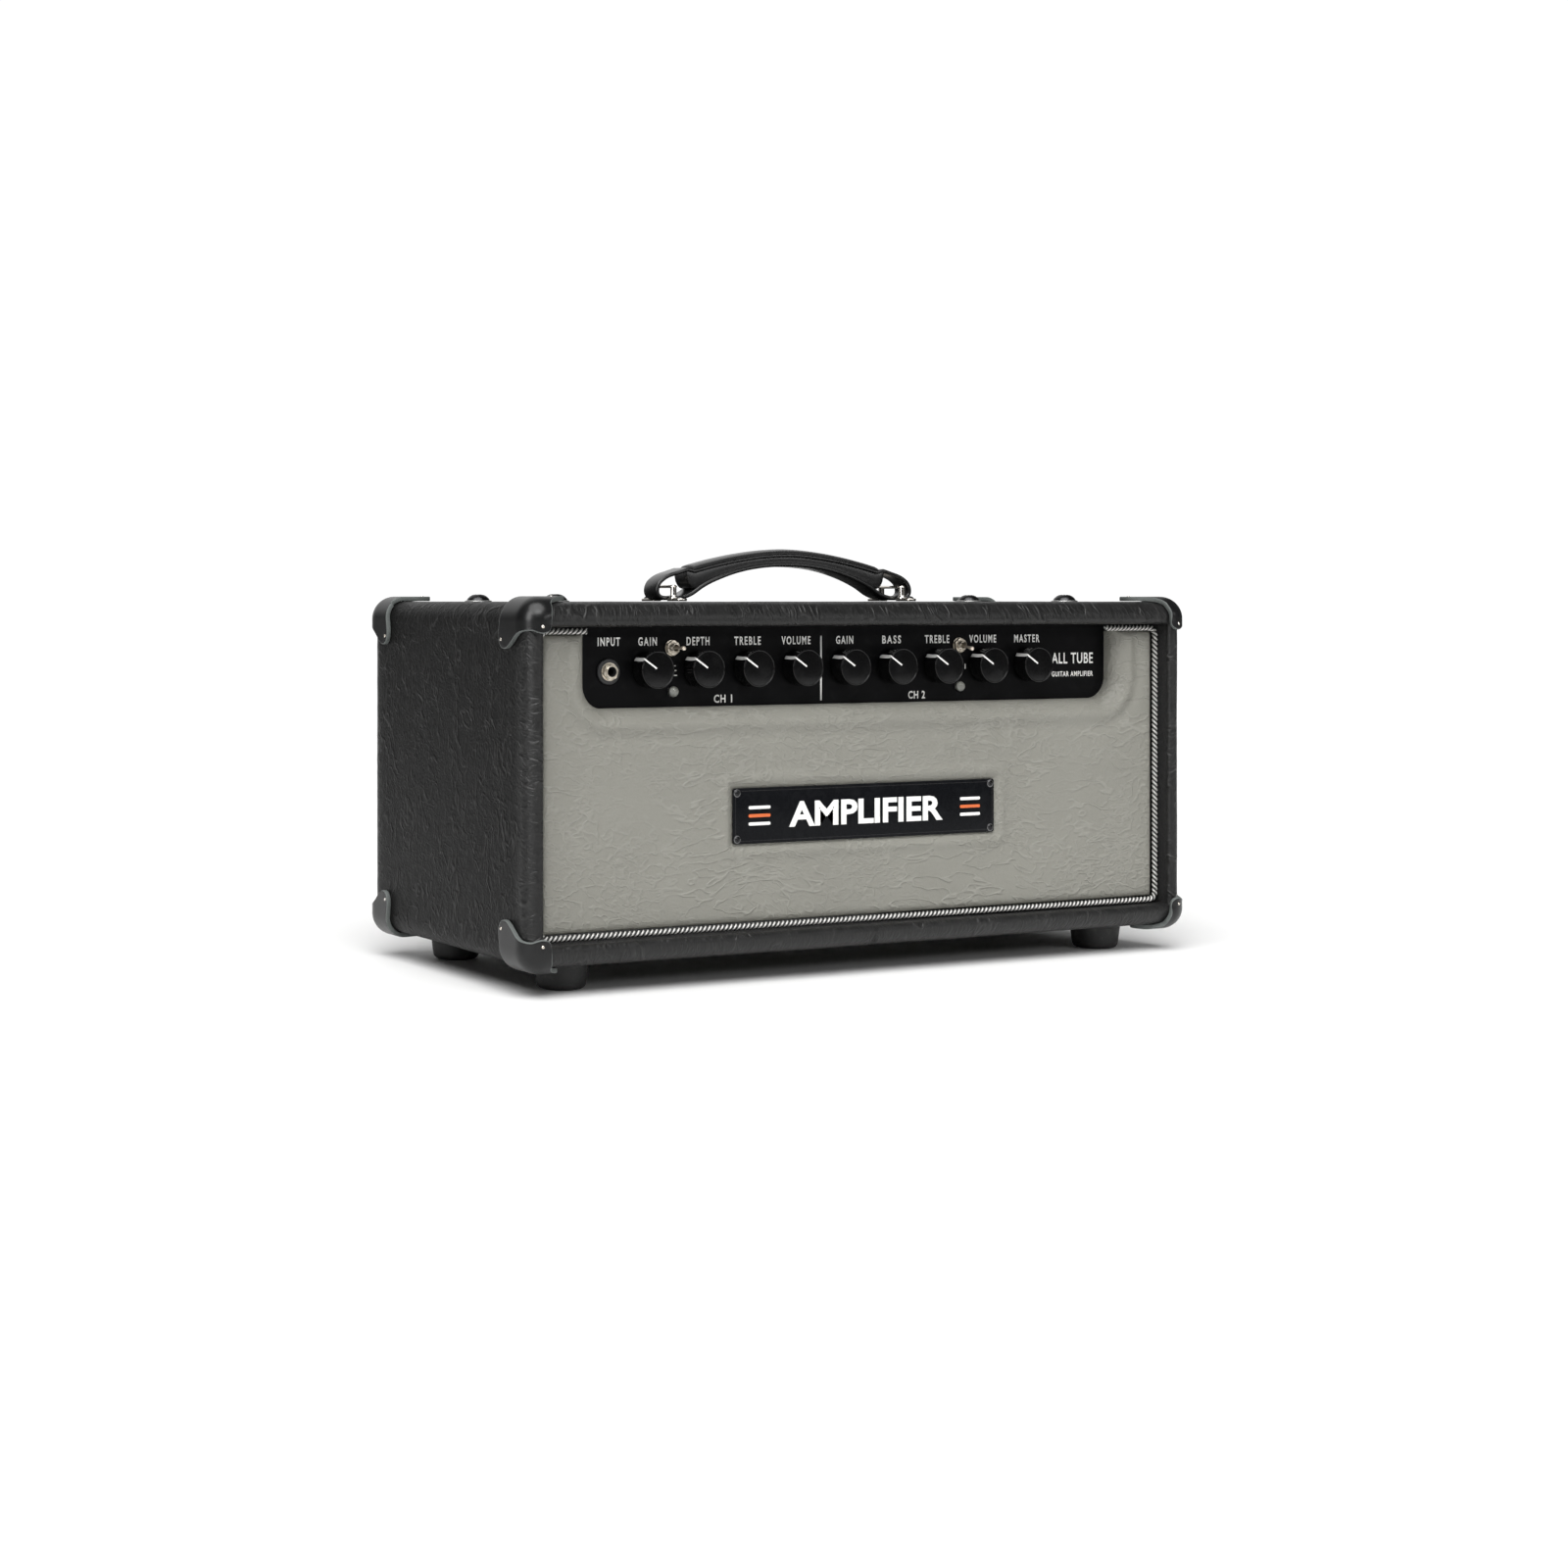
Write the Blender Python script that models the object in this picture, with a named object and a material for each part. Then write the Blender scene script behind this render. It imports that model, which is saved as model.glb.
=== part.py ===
"""Guitar amplifier head: a vinyl covered wooden cabinet with a padded front baffle, a control
panel on a hung chassis, tubes and transformers below it, a strap handle on top and a vented
back board. +Z up. The front faces -Y, +X is to the right of somebody facing the front, and
the origin is under the centre of the cabinet, at the height of the feet's rest faces.

Sizes are in millimetres; MM turns them into Blender's metres.
"""

import math
from itertools import product

import bmesh
import bpy
from mathutils import Vector

MM = 0.001
GAP = 0.3              # clearance between neighbouring pieces
SIDES = (-1, 1)

# ---- cabinet: the sizes everything else hangs on ----
CABINET_W, CABINET_D, CABINET_H = 617.0, 268.0, 267.0
FOOT_H = 21.0
HALF_W, HALF_D = CABINET_W / 2, CABINET_D / 2
BASE_Z = FOOT_H                # underside of the cabinet
TOP_Z = BASE_Z + CABINET_H     # top face of the cabinet
EDGE_R = 14.0                  # outer round-over
EDGE_SEGMENTS = 3
WALL_SIDE, WALL_TOP, WALL_BOTTOM = 14.1, 18.6, 17.3


def span(centre, half):
    """The (low, high) pair reaching half to each side of a centre."""
    return (centre - half, centre + half)


def above_base(low, high):
    """A (low, high) pair of heights measured from the cabinet's underside."""
    return (BASE_Z + low, BASE_Z + high)


# ---- the control panel and chassis, shared by most of the electrical parts ----
PANEL_Y = -102.0               # the controls seat here, GAP in front of the panel
PANEL_T = 2.0
SHEET = 2.0                    # chassis steel
CHASSIS_X = 258.0              # half width
CHASSIS_Y = (PANEL_Y + GAP + PANEL_T + GAP, 105.4)
CHASSIS_Z = above_base(184.0, 248.0)
BELOW_CHASSIS = CHASSIS_Z[0] - GAP   # where tubes and transformers start
REAR_WALL = CHASSIS_Y[1]       # outer face of the chassis's back wall
REAR_Z = BASE_Z + 216.0        # centre height of the rear controls
BOLT_X, BOLT_Y = 245.7, (-59.8, 65.9)
BOLT_HOLE_R = 3.5

# ---- places of the front controls ----
KNOB_NAMES = ["gain_1", "depth_1", "treble_1", "volume_1", "gain_2",
              "bass_2", "treble_2", "volume_2", "master"]
KNOB_PITCH = 45.0
KNOB_X = [-190.0 + KNOB_PITCH * i for i in range(len(KNOB_NAMES))]
KNOB_Z = BASE_Z + 216.0
SHAFT_HOLE_R = 3.7
JACK_X, JACK_Z = -224.4, BASE_Z + 214.7
TOGGLE_X, TOGGLE_Z = (-168.5, 101.5), BASE_Z + 232.0
LED_X, LED_Z = (-168.0, 101.5), BASE_Z + 199.0


# ---- materials ----

def material(name, colour, roughness, metallic=0.0, alpha=1.0):
    mat = bpy.data.materials.new(name)
    mat.use_nodes = True
    inputs = mat.node_tree.nodes["Principled BSDF"].inputs
    inputs["Base Color"].default_value = (*colour, 1.0)
    inputs["Roughness"].default_value = roughness
    inputs["Metallic"].default_value = metallic
    inputs["Alpha"].default_value = alpha
    mat.diffuse_color = (*colour, 1.0)
    return mat


VINYL = material("black_vinyl", colour=(0.028, 0.028, 0.027), roughness=0.45)
GREY_VINYL = material("grey_vinyl", colour=(0.29, 0.285, 0.25), roughness=0.5)
BRAID = material("silver_braid", colour=(0.62, 0.61, 0.58), roughness=0.35, metallic=0.3)
PLATE = material("name_plate", colour=(0.02, 0.02, 0.02), roughness=0.3)
LEATHER = material("corner_leather", colour=(0.022, 0.024, 0.023), roughness=0.35)
RUBBER = material("foot_rubber", colour=(0.012, 0.012, 0.012), roughness=0.7)
BLACK_STEEL = material("black_steel", colour=(0.015, 0.015, 0.015), roughness=0.35, metallic=0.6)
NICKEL = material("nickel", colour=(0.75, 0.73, 0.70), roughness=0.18, metallic=1.0)
STEEL = material("plated_steel", colour=(0.55, 0.55, 0.54), roughness=0.4, metallic=1.0)
PANEL = material("panel_black", colour=(0.008, 0.008, 0.009), roughness=0.35)
KNOB = material("knob_black", colour=(0.01, 0.01, 0.01), roughness=0.2)
BOARD = material("circuit_board", colour=(0.03, 0.12, 0.05), roughness=0.5)
LENS = material("lens_clear", colour=(0.85, 0.86, 0.86), roughness=0.08, alpha=0.6)
GLASS = material("tube_glass", colour=(0.7, 0.72, 0.72), roughness=0.05, alpha=0.5)
IRON = material("transformer_black", colour=(0.02, 0.02, 0.022), roughness=0.4, metallic=0.3)
PLASTIC = material("black_plastic", colour=(0.015, 0.015, 0.016), roughness=0.4)
GRILLE = material("grille_black", colour=(0.02, 0.02, 0.02), roughness=0.45, metallic=0.5)


# ---- objects and modifiers ----

def link_object(name, mesh, at):
    obj = bpy.data.objects.new(name, mesh)
    bpy.context.scene.collection.objects.link(obj)
    obj.location = Vector(at) * MM
    return obj


def mesh_object(name, bm, mat, at=(0.0, 0.0, 0.0), smooth=None):
    """An object from a bmesh; smooth is the angle in degrees above which edges stay sharp."""
    bmesh.ops.recalc_face_normals(bm, faces=bm.faces[:])
    mesh = bpy.data.meshes.new(name)
    bm.to_mesh(mesh)
    bm.free()
    if mat is not None:
        mesh.materials.append(mat)
    if smooth is not None:
        mesh.shade_smooth()
        mesh.set_sharp_from_angle(angle=math.radians(smooth))
    return link_object(name, mesh, at)


def helper(name, bm, at=(0.0, 0.0, 0.0)):
    """A hidden object that only serves as a boolean operand."""
    obj = mesh_object(name, bm, None, at=at)
    obj.hide_render = True
    obj.display_type = "WIRE"
    return obj


def boolean(obj, other, operation="DIFFERENCE"):
    mod = obj.modifiers.new(operation.lower(), "BOOLEAN")
    mod.operation = operation
    mod.solver = "EXACT"
    mod.object = other


def round_edges(obj, radius):
    mod = obj.modifiers.new("round", "BEVEL")
    mod.width = radius * MM
    mod.segments = EDGE_SEGMENTS
    mod.limit_method = "ANGLE"


# ---- shapes ----

def loft(rings):
    """Quads between rings of equal length, with a cap on the first and last ring."""
    bm = bmesh.new()
    made = [[bm.verts.new(Vector(p) * MM) for p in ring] for ring in rings]
    count = len(made[0])
    for low, high in zip(made, made[1:]):
        for i in range(count):
            j = (i + 1) % count
            bm.faces.new((low[i], low[j], high[j], high[i]))
    bm.faces.new(made[0])
    bm.faces.new(made[-1])
    return bm


def extrude_x(outline, x_span):
    """A prism along X; outline: (y, z) points."""
    return loft([[(x, y, z) for y, z in outline] for x in x_span])


def extrude_y(outline, y_span):
    """A prism along Y; outline: (x, z) points."""
    return loft([[(x, y, z) for x, z in outline] for y in y_span])


def box(x, y, z):
    ring = [(x[0], y[0]), (x[1], y[0]), (x[1], y[1]), (x[0], y[1])]
    return loft([[(px, py, height) for px, py in ring] for height in z])


def lathe(profile, count, axis="Y", ring=False):
    """A turned solid about Y or Z. profile: (radius, place along the axis) pairs that start
    and end on the axis, or close on themselves for a ring."""
    bm = bmesh.new()
    rows = []
    for radius, along in profile:
        row = []
        for i in range(count if radius else 1):
            turn = 2 * math.pi * i / count
            a, b = radius * math.cos(turn), radius * math.sin(turn)
            point = (a, along, b) if axis == "Y" else (a, b, along)
            row.append(bm.verts.new(Vector(point) * MM))
        rows.append(row)
    pairs = list(zip(rows, rows[1:]))
    if ring:
        pairs.append((rows[-1], rows[0]))
    for low, high in pairs:
        for i in range(count):
            j = (i + 1) % count
            if len(low) == 1:
                bm.faces.new((low[0], high[i], high[j]))
            elif len(high) == 1:
                bm.faces.new((low[i], low[j], high[0]))
            else:
                bm.faces.new((low[i], low[j], high[j], high[i]))
    return bm


def arc(centre_x, centre_z, radius, start, stop, steps):
    """(x, z) points on an arc; angles in degrees."""
    points = []
    for k in range(steps + 1):
        turn = math.radians(start + (stop - start) * k / steps)
        points.append((centre_x + radius * math.cos(turn), centre_z + radius * math.sin(turn)))
    return points


def rounded_corners(half_width, z_span, radius, starts):
    """Corner arcs of a rectangle centred on x = 0, in the order of their start angles."""
    low, high = z_span
    points = []
    for start in starts:
        x_side = 1 if start in (0, 270) else -1
        centre_z = high - radius if start in (0, 90) else low + radius
        points += arc(x_side * (half_width - radius), centre_z, radius, start, start + 90, 2)
    return points


def swept_tube(path, radius, count, y):
    """A tube of round section along an open (x, z) path at a fixed y."""
    rings = []
    for i, (px, pz) in enumerate(path):
        before = Vector(path[max(i - 1, 0)])
        after = Vector(path[min(i + 1, len(path) - 1)])
        along = (after - before).normalized()
        across = Vector((-along.y, along.x))
        ring = []
        for k in range(count):
            turn = 2 * math.pi * (k + 0.5) / count
            out = radius * math.cos(turn)
            ring.append((px + across.x * out, y + radius * math.sin(turn), pz + across.y * out))
        rings.append(ring)
    return loft(rings)


def box_tool(target, name, x, y, z, operation="DIFFERENCE"):
    """Cut a box from the target, or add one to it."""
    boolean(target, helper(name, box(x, y, z)), operation)


def round_tool(target, name, at, radius, reach, count, axis="Y", operation="DIFFERENCE"):
    """Cut or add a cylinder; reach is its (start, end) along the axis, from its place."""
    start, end = reach
    profile = [(0, start), (radius, start), (radius, end), (0, end)]
    boolean(target, helper(name, lathe(profile, count, axis), at), operation)


def bolt_holes(target, prefix, z, length):
    for x_side in SIDES:
        for k, y in enumerate(BOLT_Y):
            round_tool(target, f"{prefix}_{x_side}_{k}", (x_side * BOLT_X, y, z),
                       BOLT_HOLE_R, (0, length), 8, "Z")


# ---- cabinet shell: four boards with a rounded outside, open at the front and the back ----
LIP_R = 5.5            # round-over of the front opening
REAR_CHAMFER = 3.0     # widening of the opening at the back
OVERSHOOT = 6.0        # the cutter's reach beyond the front and back faces


def cabinet_block(grow):
    """The cabinet's outer box, grown on every side."""
    return box(span(0, HALF_W + grow), span(0, HALF_D + grow), (BASE_Z - grow, TOP_Z + grow))


def opening_ring(y, grow):
    x = HALF_W - WALL_SIDE + grow
    low, high = BASE_Z + WALL_BOTTOM - grow, TOP_Z - WALL_TOP + grow
    return [(-x, y, low), (x, y, low), (x, y, high), (-x, y, high)]


def cabinet_shell():
    shell = mesh_object("cabinet_shell", cabinet_block(0), VINYL)
    round_edges(shell, EDGE_R)
    rings = [opening_ring(-HALF_D - OVERSHOOT, LIP_R + OVERSHOOT)]
    for k in range(4):
        turn = math.radians(30 * k)
        rings.append(opening_ring(-HALF_D + LIP_R * (1 - math.cos(turn)),
                                  LIP_R * (1 - math.sin(turn))))
    rings.append(opening_ring(HALF_D - REAR_CHAMFER, 0.0))
    rings.append(opening_ring(HALF_D, REAR_CHAMFER))
    rings.append(opening_ring(HALF_D + OVERSHOOT, REAR_CHAMFER + OVERSHOOT))
    boolean(shell, helper("cut_opening", loft(rings)))
    bolt_holes(shell, "cut_bolt", z=TOP_Z - 40, length=60)


# ---- padded baffle with a notch for the control panel and a pocket for the name plate ----
BAFFLE_FRONT = -118.0  # the padded face, set back behind the lip
BAFFLE_T = 15.7
BAFFLE_HALF_W = 577.2 / 2
BAFFLE_Z = above_base(23.1, 242.6)
NOTCH_HALF_W, NOTCH_Z, NOTCH_R = 501.0 / 2, BASE_Z + 187.4, 18.0
NOTCH_ROLL = 12.0      # roll of the padding at the notch
BAFFLE_ROLL = 2.5      # narrower roll round the rest of the face

PLATE_HALF_W, PLATE_HALF_H = 248.0 / 2, 42.5 / 2
PLATE_Z, PLATE_T = BASE_Z + 104.0, 1.6
PLATE_CORNER_R = 1.5
POCKET_DEPTH = 1.9

PIPING_R = 2.6
PIPING_HALF_W, PIPING_Z = 291.5, above_base(20.2, 245.5)
PIPING_BEND_R = 6.0
PIPING_END_X = 247.0   # the two ends, on the upper run


def baffle_ring(y, roll, inset):
    x = BAFFLE_HALF_W - inset
    low, high = BAFFLE_Z[0] + inset, BAFFLE_Z[1] - inset
    notch_x, notch_z, radius = NOTCH_HALF_W + roll, NOTCH_Z - roll, NOTCH_R + roll
    ring = [(-x, low), (x, low), (x, high), (notch_x, high)]
    ring += arc(notch_x - radius, notch_z + radius, radius, 0, -90, 4)
    ring += arc(-notch_x + radius, notch_z + radius, radius, -90, -180, 4)
    ring += [(-notch_x, high), (-x, high)]
    return [(px, y, pz) for px, pz in ring]


def front_baffle():
    rings = [baffle_ring(BAFFLE_FRONT + BAFFLE_T, 0, 0)]
    for k in range(4):
        turn = math.radians(30 * k)
        rings.append(baffle_ring(
            BAFFLE_FRONT + NOTCH_ROLL * (1 - math.sin(turn)),
            NOTCH_ROLL * (1 - math.cos(turn)),
            BAFFLE_ROLL * (1 - math.cos(turn)),
        ))
    baffle = mesh_object("front_baffle", loft(rings), GREY_VINYL, smooth=40)
    box_tool(baffle, "cut_plate", span(0, PLATE_HALF_W + GAP),
             (BAFFLE_FRONT - 2, BAFFLE_FRONT + POCKET_DEPTH), span(PLATE_Z, PLATE_HALF_H + GAP))


def baffle_piping():
    """Braid round the edge of the baffle, open across the notch."""
    high = PIPING_Z[1]
    path = [(-PIPING_END_X, high)]
    path += rounded_corners(PIPING_HALF_W, PIPING_Z, PIPING_BEND_R, (90, 180, 270, 0))
    path.append((PIPING_END_X, high))
    tube = swept_tube(path, PIPING_R, 8, BAFFLE_FRONT + 0.2)
    mesh_object("baffle_piping", tube, BRAID, smooth=60)


def nameplate():
    outline = rounded_corners(PLATE_HALF_W, span(PLATE_Z, PLATE_HALF_H), PLATE_CORNER_R,
                              (0, 90, 180, 270))
    bm = extrude_y(outline, (BAFFLE_FRONT, BAFFLE_FRONT + PLATE_T))
    mesh_object("nameplate", bm, PLATE)


# ---- leather corner protectors: a skin over each corner, cut to one lobe per face ----
LEATHER_T = 3.2
LOBE_DEPTHS = (-8.0, 16.0)   # reach of each lobe prism, outside and inside its face

# Side lobe: (distance in from the front or rear face, distance in from the top or underside)
SIDE_LOBE = [
    (-8, -8), (37, -8), (37.5, 4), (39.5, 12), (41, 22), (40, 29),
    (36, 33), (30, 33.5), (22, 31), (14, 25.5), (7, 21.5), (-8, 20.6),
]
# Top and bottom lobes: (distance in from the side, distance in from the front or rear face)
TOP_LOBE = [
    (-8, -8), (18, -8), (20, 4), (26, 10), (34, 14), (40, 20),
    (41, 28), (38, 35), (32, 39), (20, 39), (8, 37.5), (-8, 37),
]
BOTTOM_LOBE = [
    (-8, -8), (18, -8), (20, 4), (25, 9), (30, 13), (33, 18),
    (33, 25), (31, 30), (27, 33), (18, 35), (8, 35), (-8, 35),
]
# Lobe on the front or rear: (distance in from the side, distance in from the top or underside)
END_LOBE = [
    (-8, -8), (17, -8), (15, 12), (13.4, 17), (13, 21),
    (11, 23), (7, 22.5), (3, 21), (-8, 20.6),
]


def lobe_prism(name, outline, place):
    """place turns (outline column 1, column 2, depth into the face) into a point."""
    return helper(name, loft([[place(a, b, depth) for a, b in outline] for depth in LOBE_DEPTHS]))


def corner_protector(tag, x_side, y_side, z_side, inside):
    def inward(x, y, z):
        """The point at these distances in from the corner's three faces."""
        face_z = TOP_Z if z_side > 0 else BASE_Z
        return (x_side * (HALF_W - x), y_side * (HALF_D - y), face_z - z_side * z)

    flat_lobe = TOP_LOBE if z_side > 0 else BOTTOM_LOBE
    lobes = lobe_prism(f"lobe_side_{tag}", SIDE_LOBE, lambda a, b, depth: inward(depth, a, b))
    flat = lobe_prism(f"lobe_top_{tag}", flat_lobe, inward)
    boolean(lobes, flat, "UNION")
    end = lobe_prism(f"lobe_front_{tag}", END_LOBE, lambda a, b, depth: inward(a, depth, b))
    boolean(lobes, end, "UNION")

    skin = GAP + LEATHER_T
    corner = mesh_object(f"corner_{tag}", cabinet_block(skin), LEATHER)
    round_edges(corner, EDGE_R + skin)
    boolean(corner, inside)
    boolean(corner, lobes, "INTERSECT")


def corner_protectors():
    inside = helper("cut_corner_inside", cabinet_block(GAP))
    round_edges(inside, EDGE_R + GAP)
    x_names, y_names, z_names = ("left", "right"), ("front", "rear"), ("bottom", "top")
    for (x_side, side), (y_side, end), (z_side, level) in product(
            zip(SIDES, x_names), zip(SIDES, y_names), zip(SIDES, z_names)):
        corner_protector(f"{end}_{side}_{level}", x_side, y_side, z_side, inside)


# ---- rubber feet, and the bolts that hang the chassis from the top board ----
FOOT_X, FOOT_Y = 255.3, 86.2
# (radius, height): a recess in the rest face, then the flared side and the top
FOOT_PROFILE = [
    (0.0, 12.0), (6.0, 12.0), (6.0, 0.0), (16.5, 0.0), (18.2, 2.0),
    (21.0, FOOT_H - 2.0), (20.0, FOOT_H - GAP), (0.0, FOOT_H - GAP),
]
# (radius, height over the cabinet top): domed head and shank
BOLT_PROFILE = [
    (0, 5.8), (6.0, 5.0), (10.0, 2.6), (11.0, 0.3), (2.8, 0.3), (2.8, -26.0), (0, -26.0),
]
BOLT_LIFT = 0.05


def feet():
    for number, (y_side, x_side) in enumerate(product(SIDES, SIDES), 1):
        mesh_object(f"foot_{number}", lathe(FOOT_PROFILE, 16, "Z"), RUBBER,
                    at=(x_side * FOOT_X, y_side * FOOT_Y, 0), smooth=50)


def chassis_bolts():
    for number, (y, x_side) in enumerate(product(BOLT_Y, SIDES), 1):
        mesh_object(f"chassis_bolt_{number}", lathe(BOLT_PROFILE, 12, "Z"), BLACK_STEEL,
                    at=(x_side * BOLT_X, y, TOP_Z + BOLT_LIFT), smooth=50)


# ---- strap handle: an arched strap whose ends loop round the bracket bars ----
STRAP_PEAK = TOP_Z + 42.4
STRAP_HALF_WIDTH = 11.0
LOOP_LOW = TOP_Z + 1.2         # underside of the end loops
STRAP_TOP_X = (-104, -84, -62, -40, -20, 0, 20, 40, 62, 84, 104)
STRAP_UNDER_X = (80, 66, 50, 32, 12, -12, -32, -50, -66, -80)
# (x, z) round the right end, from the upper outline to the lower; the left end mirrors it
STRAP_END = [
    (121, 307.5), (128.5, 303), (132.0, 297.5), (130.5, 292),
    (124, LOOP_LOW), (104, LOOP_LOW), (90, 293.5),
]
# (x, z) of the opening in the right loop
LOOP_HOLE = [
    (101, 297.2), (104, 292.8), (122, 292.6), (127, 295), (128.2, 298.5),
    (125.5, 302), (119, 304.6), (108, 306.6), (103, 304.6),
]

BRACKET_X, BRACKET_HALF_WIDTH = 112.0, 5.0
BRACKET_T = 2.2
BRACKET_FOOT_Y = 30            # outer end of each foot
BRACKET_INNER_Y = 13           # inner face of each upright
BRIDGE_TOP = TOP_Z + 13.3


def strap_top(x):
    """Height of the strap's upper outline."""
    return STRAP_PEAK - 23.0 * (abs(x) / 122.0) ** 1.75


def strap_under(x):
    """Height of the strap's lower outline."""
    return STRAP_PEAK - 14.0 - 22.0 * (abs(x) / 90.0) ** 2.3


def handle_strap():
    outline = [(x, strap_top(x)) for x in STRAP_TOP_X]
    outline += STRAP_END
    outline += [(x, strap_under(x)) for x in STRAP_UNDER_X]
    outline += [(-x, z) for x, z in reversed(STRAP_END)]
    strap = mesh_object("handle_strap", extrude_y(outline, span(0, STRAP_HALF_WIDTH)), LEATHER)
    for x_side in SIDES:
        hole = extrude_y([(x_side * x, z) for x, z in LOOP_HOLE], (-20, 20))
        boolean(strap, helper(f"cut_loop_{x_side}", hole))


def handle_brackets():
    """Nickel bracket at each end of the handle: feet, two uprights and a cross plate."""
    low = TOP_Z + GAP
    foot_top, bridge_under = low + BRACKET_T, BRIDGE_TOP - BRACKET_T
    foot, inner, outer = BRACKET_FOOT_Y, BRACKET_INNER_Y, BRACKET_INNER_Y + BRACKET_T
    section = [
        (-foot, low), (-inner, low), (-inner, bridge_under),
        (inner, bridge_under), (inner, low), (foot, low),
        (foot, foot_top), (outer, foot_top), (outer, BRIDGE_TOP),
        (-outer, BRIDGE_TOP), (-outer, foot_top), (-foot, foot_top),
    ]
    for x_side, side in zip(SIDES, ("left", "right")):
        bm = extrude_x(section, span(x_side * BRACKET_X, BRACKET_HALF_WIDTH))
        mesh_object(f"handle_bracket_{side}", bm, NICKEL)


# ---- back board with a vent opening, and its slotted grille ----
BACK_Y = (116.0, 128.0)
BACK_Z = above_base(WALL_BOTTOM + GAP, 190.0)
VENT_W, VENT_Z = 360.0, above_base(60.0, 132.0)
GRILLE_T = 1.6
GRILLE_MARGIN_X, GRILLE_MARGIN_Z = 12, 10   # overlap round the vent
SLOT_COLUMNS, SLOT_ROWS = 6, 5
SLOT_HALF_W, SLOT_HALF_H = 26, 4.5


def rear_panel():
    rear = mesh_object("rear_panel", box(span(0, HALF_W - WALL_SIDE - GAP), BACK_Y, BACK_Z), VINYL)
    box_tool(rear, "cut_vent", span(0, VENT_W / 2), (100, 140), VENT_Z)


def rear_vent_grille():
    face = BACK_Y[0] - GAP
    low, high = VENT_Z
    grille = mesh_object(
        "rear_vent_grille",
        box(span(0, VENT_W / 2 + GRILLE_MARGIN_X), (face - GRILLE_T, face),
            (low - GRILLE_MARGIN_Z, high + GRILLE_MARGIN_Z)),
        GRILLE,
    )
    for column, row in product(range(SLOT_COLUMNS), range(SLOT_ROWS)):
        x = -VENT_W / 2 + VENT_W * (column + 0.5) / SLOT_COLUMNS
        z = low + (high - low) * (row + 0.5) / SLOT_ROWS
        box_tool(grille, f"cut_slot_{column}_{row}",
                 span(x, SLOT_HALF_W), (100, 130), span(z, SLOT_HALF_H))


# ---- chassis: a steel tray hung under the top board, open upwards between its flanges ----
TRAY_OPENING_X = 232           # half width of the open top
WINDOW_X, WINDOW_Z = (-238, 190), above_base(192, 240)


def chassis_pan():
    low, high = CHASSIS_Z
    inside_y = (CHASSIS_Y[0] + SHEET, CHASSIS_Y[1] - SHEET)
    chassis = mesh_object("chassis_pan", box(span(0, CHASSIS_X), CHASSIS_Y, CHASSIS_Z), STEEL)
    box_tool(chassis, "cut_tray", span(0, CHASSIS_X - SHEET), inside_y, (low + SHEET, high - SHEET))
    box_tool(chassis, "cut_tray_top", span(0, TRAY_OPENING_X), inside_y, span(high, 10))
    box_tool(chassis, "cut_front_window", WINDOW_X, span(CHASSIS_Y[0], 5), WINDOW_Z)
    bolt_holes(chassis, "cut_flange", z=high - 10, length=20)
    return chassis


# ---- control panel with a hole for each control ----
PANEL_HALF_W, PANEL_Z = 262, above_base(178, 248)
# (x, z, radius) of each hole
PANEL_HOLES = [
    *[(x, KNOB_Z, SHAFT_HOLE_R) for x in KNOB_X],
    (JACK_X, JACK_Z, 6.4),
    *[(x, TOGGLE_Z, 3.6) for x in TOGGLE_X],
    *[(x, LED_Z, 3.4) for x in LED_X],
]


def control_panel():
    face = PANEL_Y + GAP
    bm = box(span(0, PANEL_HALF_W), (face, face + PANEL_T), PANEL_Z)
    panel = mesh_object("control_panel", bm, PANEL)
    for k, (x, z, radius) in enumerate(PANEL_HOLES):
        round_tool(panel, f"cut_panel_{k}", (x, PANEL_Y, z), radius, (-10, 10), 10)


# ---- front controls; profiles are (radius, y from the part's place), negative to the front ----
# Closed section of the collar, nut and barrel round the plug's bore
JACK_PROFILE = [
    (3.4, -6.6), (5.2, -6.6), (5.2, -5.2), (7.2, -5.2), (7.2, -2.2),
    (11.0, -2.0), (11.0, 0.0), (5.6, 0.0), (5.6, 16.0), (3.4, 16.0),
]

KNOB_R, KNOB_H = 28.6 / 2, 15.0
KNOB_BACK = PANEL_Y - 1.0
# Waisted knob with its shaft behind
KNOB_PROFILE = [
    (0, -KNOB_H), (KNOB_R - 1.2, -KNOB_H), (KNOB_R, -KNOB_H + 1.0),
    (KNOB_R - 0.7, -KNOB_H * 0.5), (KNOB_R, 0), (3.0, 0), (3.0, 11.6), (0, 11.6),
]

TOGGLE_TILT = (0.0, 11.0)      # rest tilt of each lever below level, degrees
TOGGLE_PIVOT_Y = -106.0
# Body behind the panel, bushing and nut, with the lever's bore
TOGGLE_BODY_PROFILE = [
    (0.0, 12.0), (5.5, 12.0), (5.5, 3.0), (3.3, 3.0), (3.3, 0.0), (6.2, 0.0),
    (6.2, -3.0), (3.3, -3.2), (3.3, -6.4), (2.6, -6.4), (2.6, 4.0), (0.0, 4.0),
]
TOGGLE_LEVER_PROFILE = [
    (0.0, 4.0), (1.2, 4.0), (1.15, -5.0), (1.9, -11.5), (1.6, -13.4), (0.0, -14.0),
]

# Domed lens with a stem behind
LED_PROFILE = [
    (0.0, -5.0), (2.4, -4.4), (3.9, -2.4), (4.3, 0.0), (3.0, 0.0), (3.0, 10.0), (0.0, 10.0),
]


def input_jack():
    mesh_object("input_jack", lathe(JACK_PROFILE, 12, ring=True), NICKEL,
                at=(JACK_X, PANEL_Y, JACK_Z), smooth=40)


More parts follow.
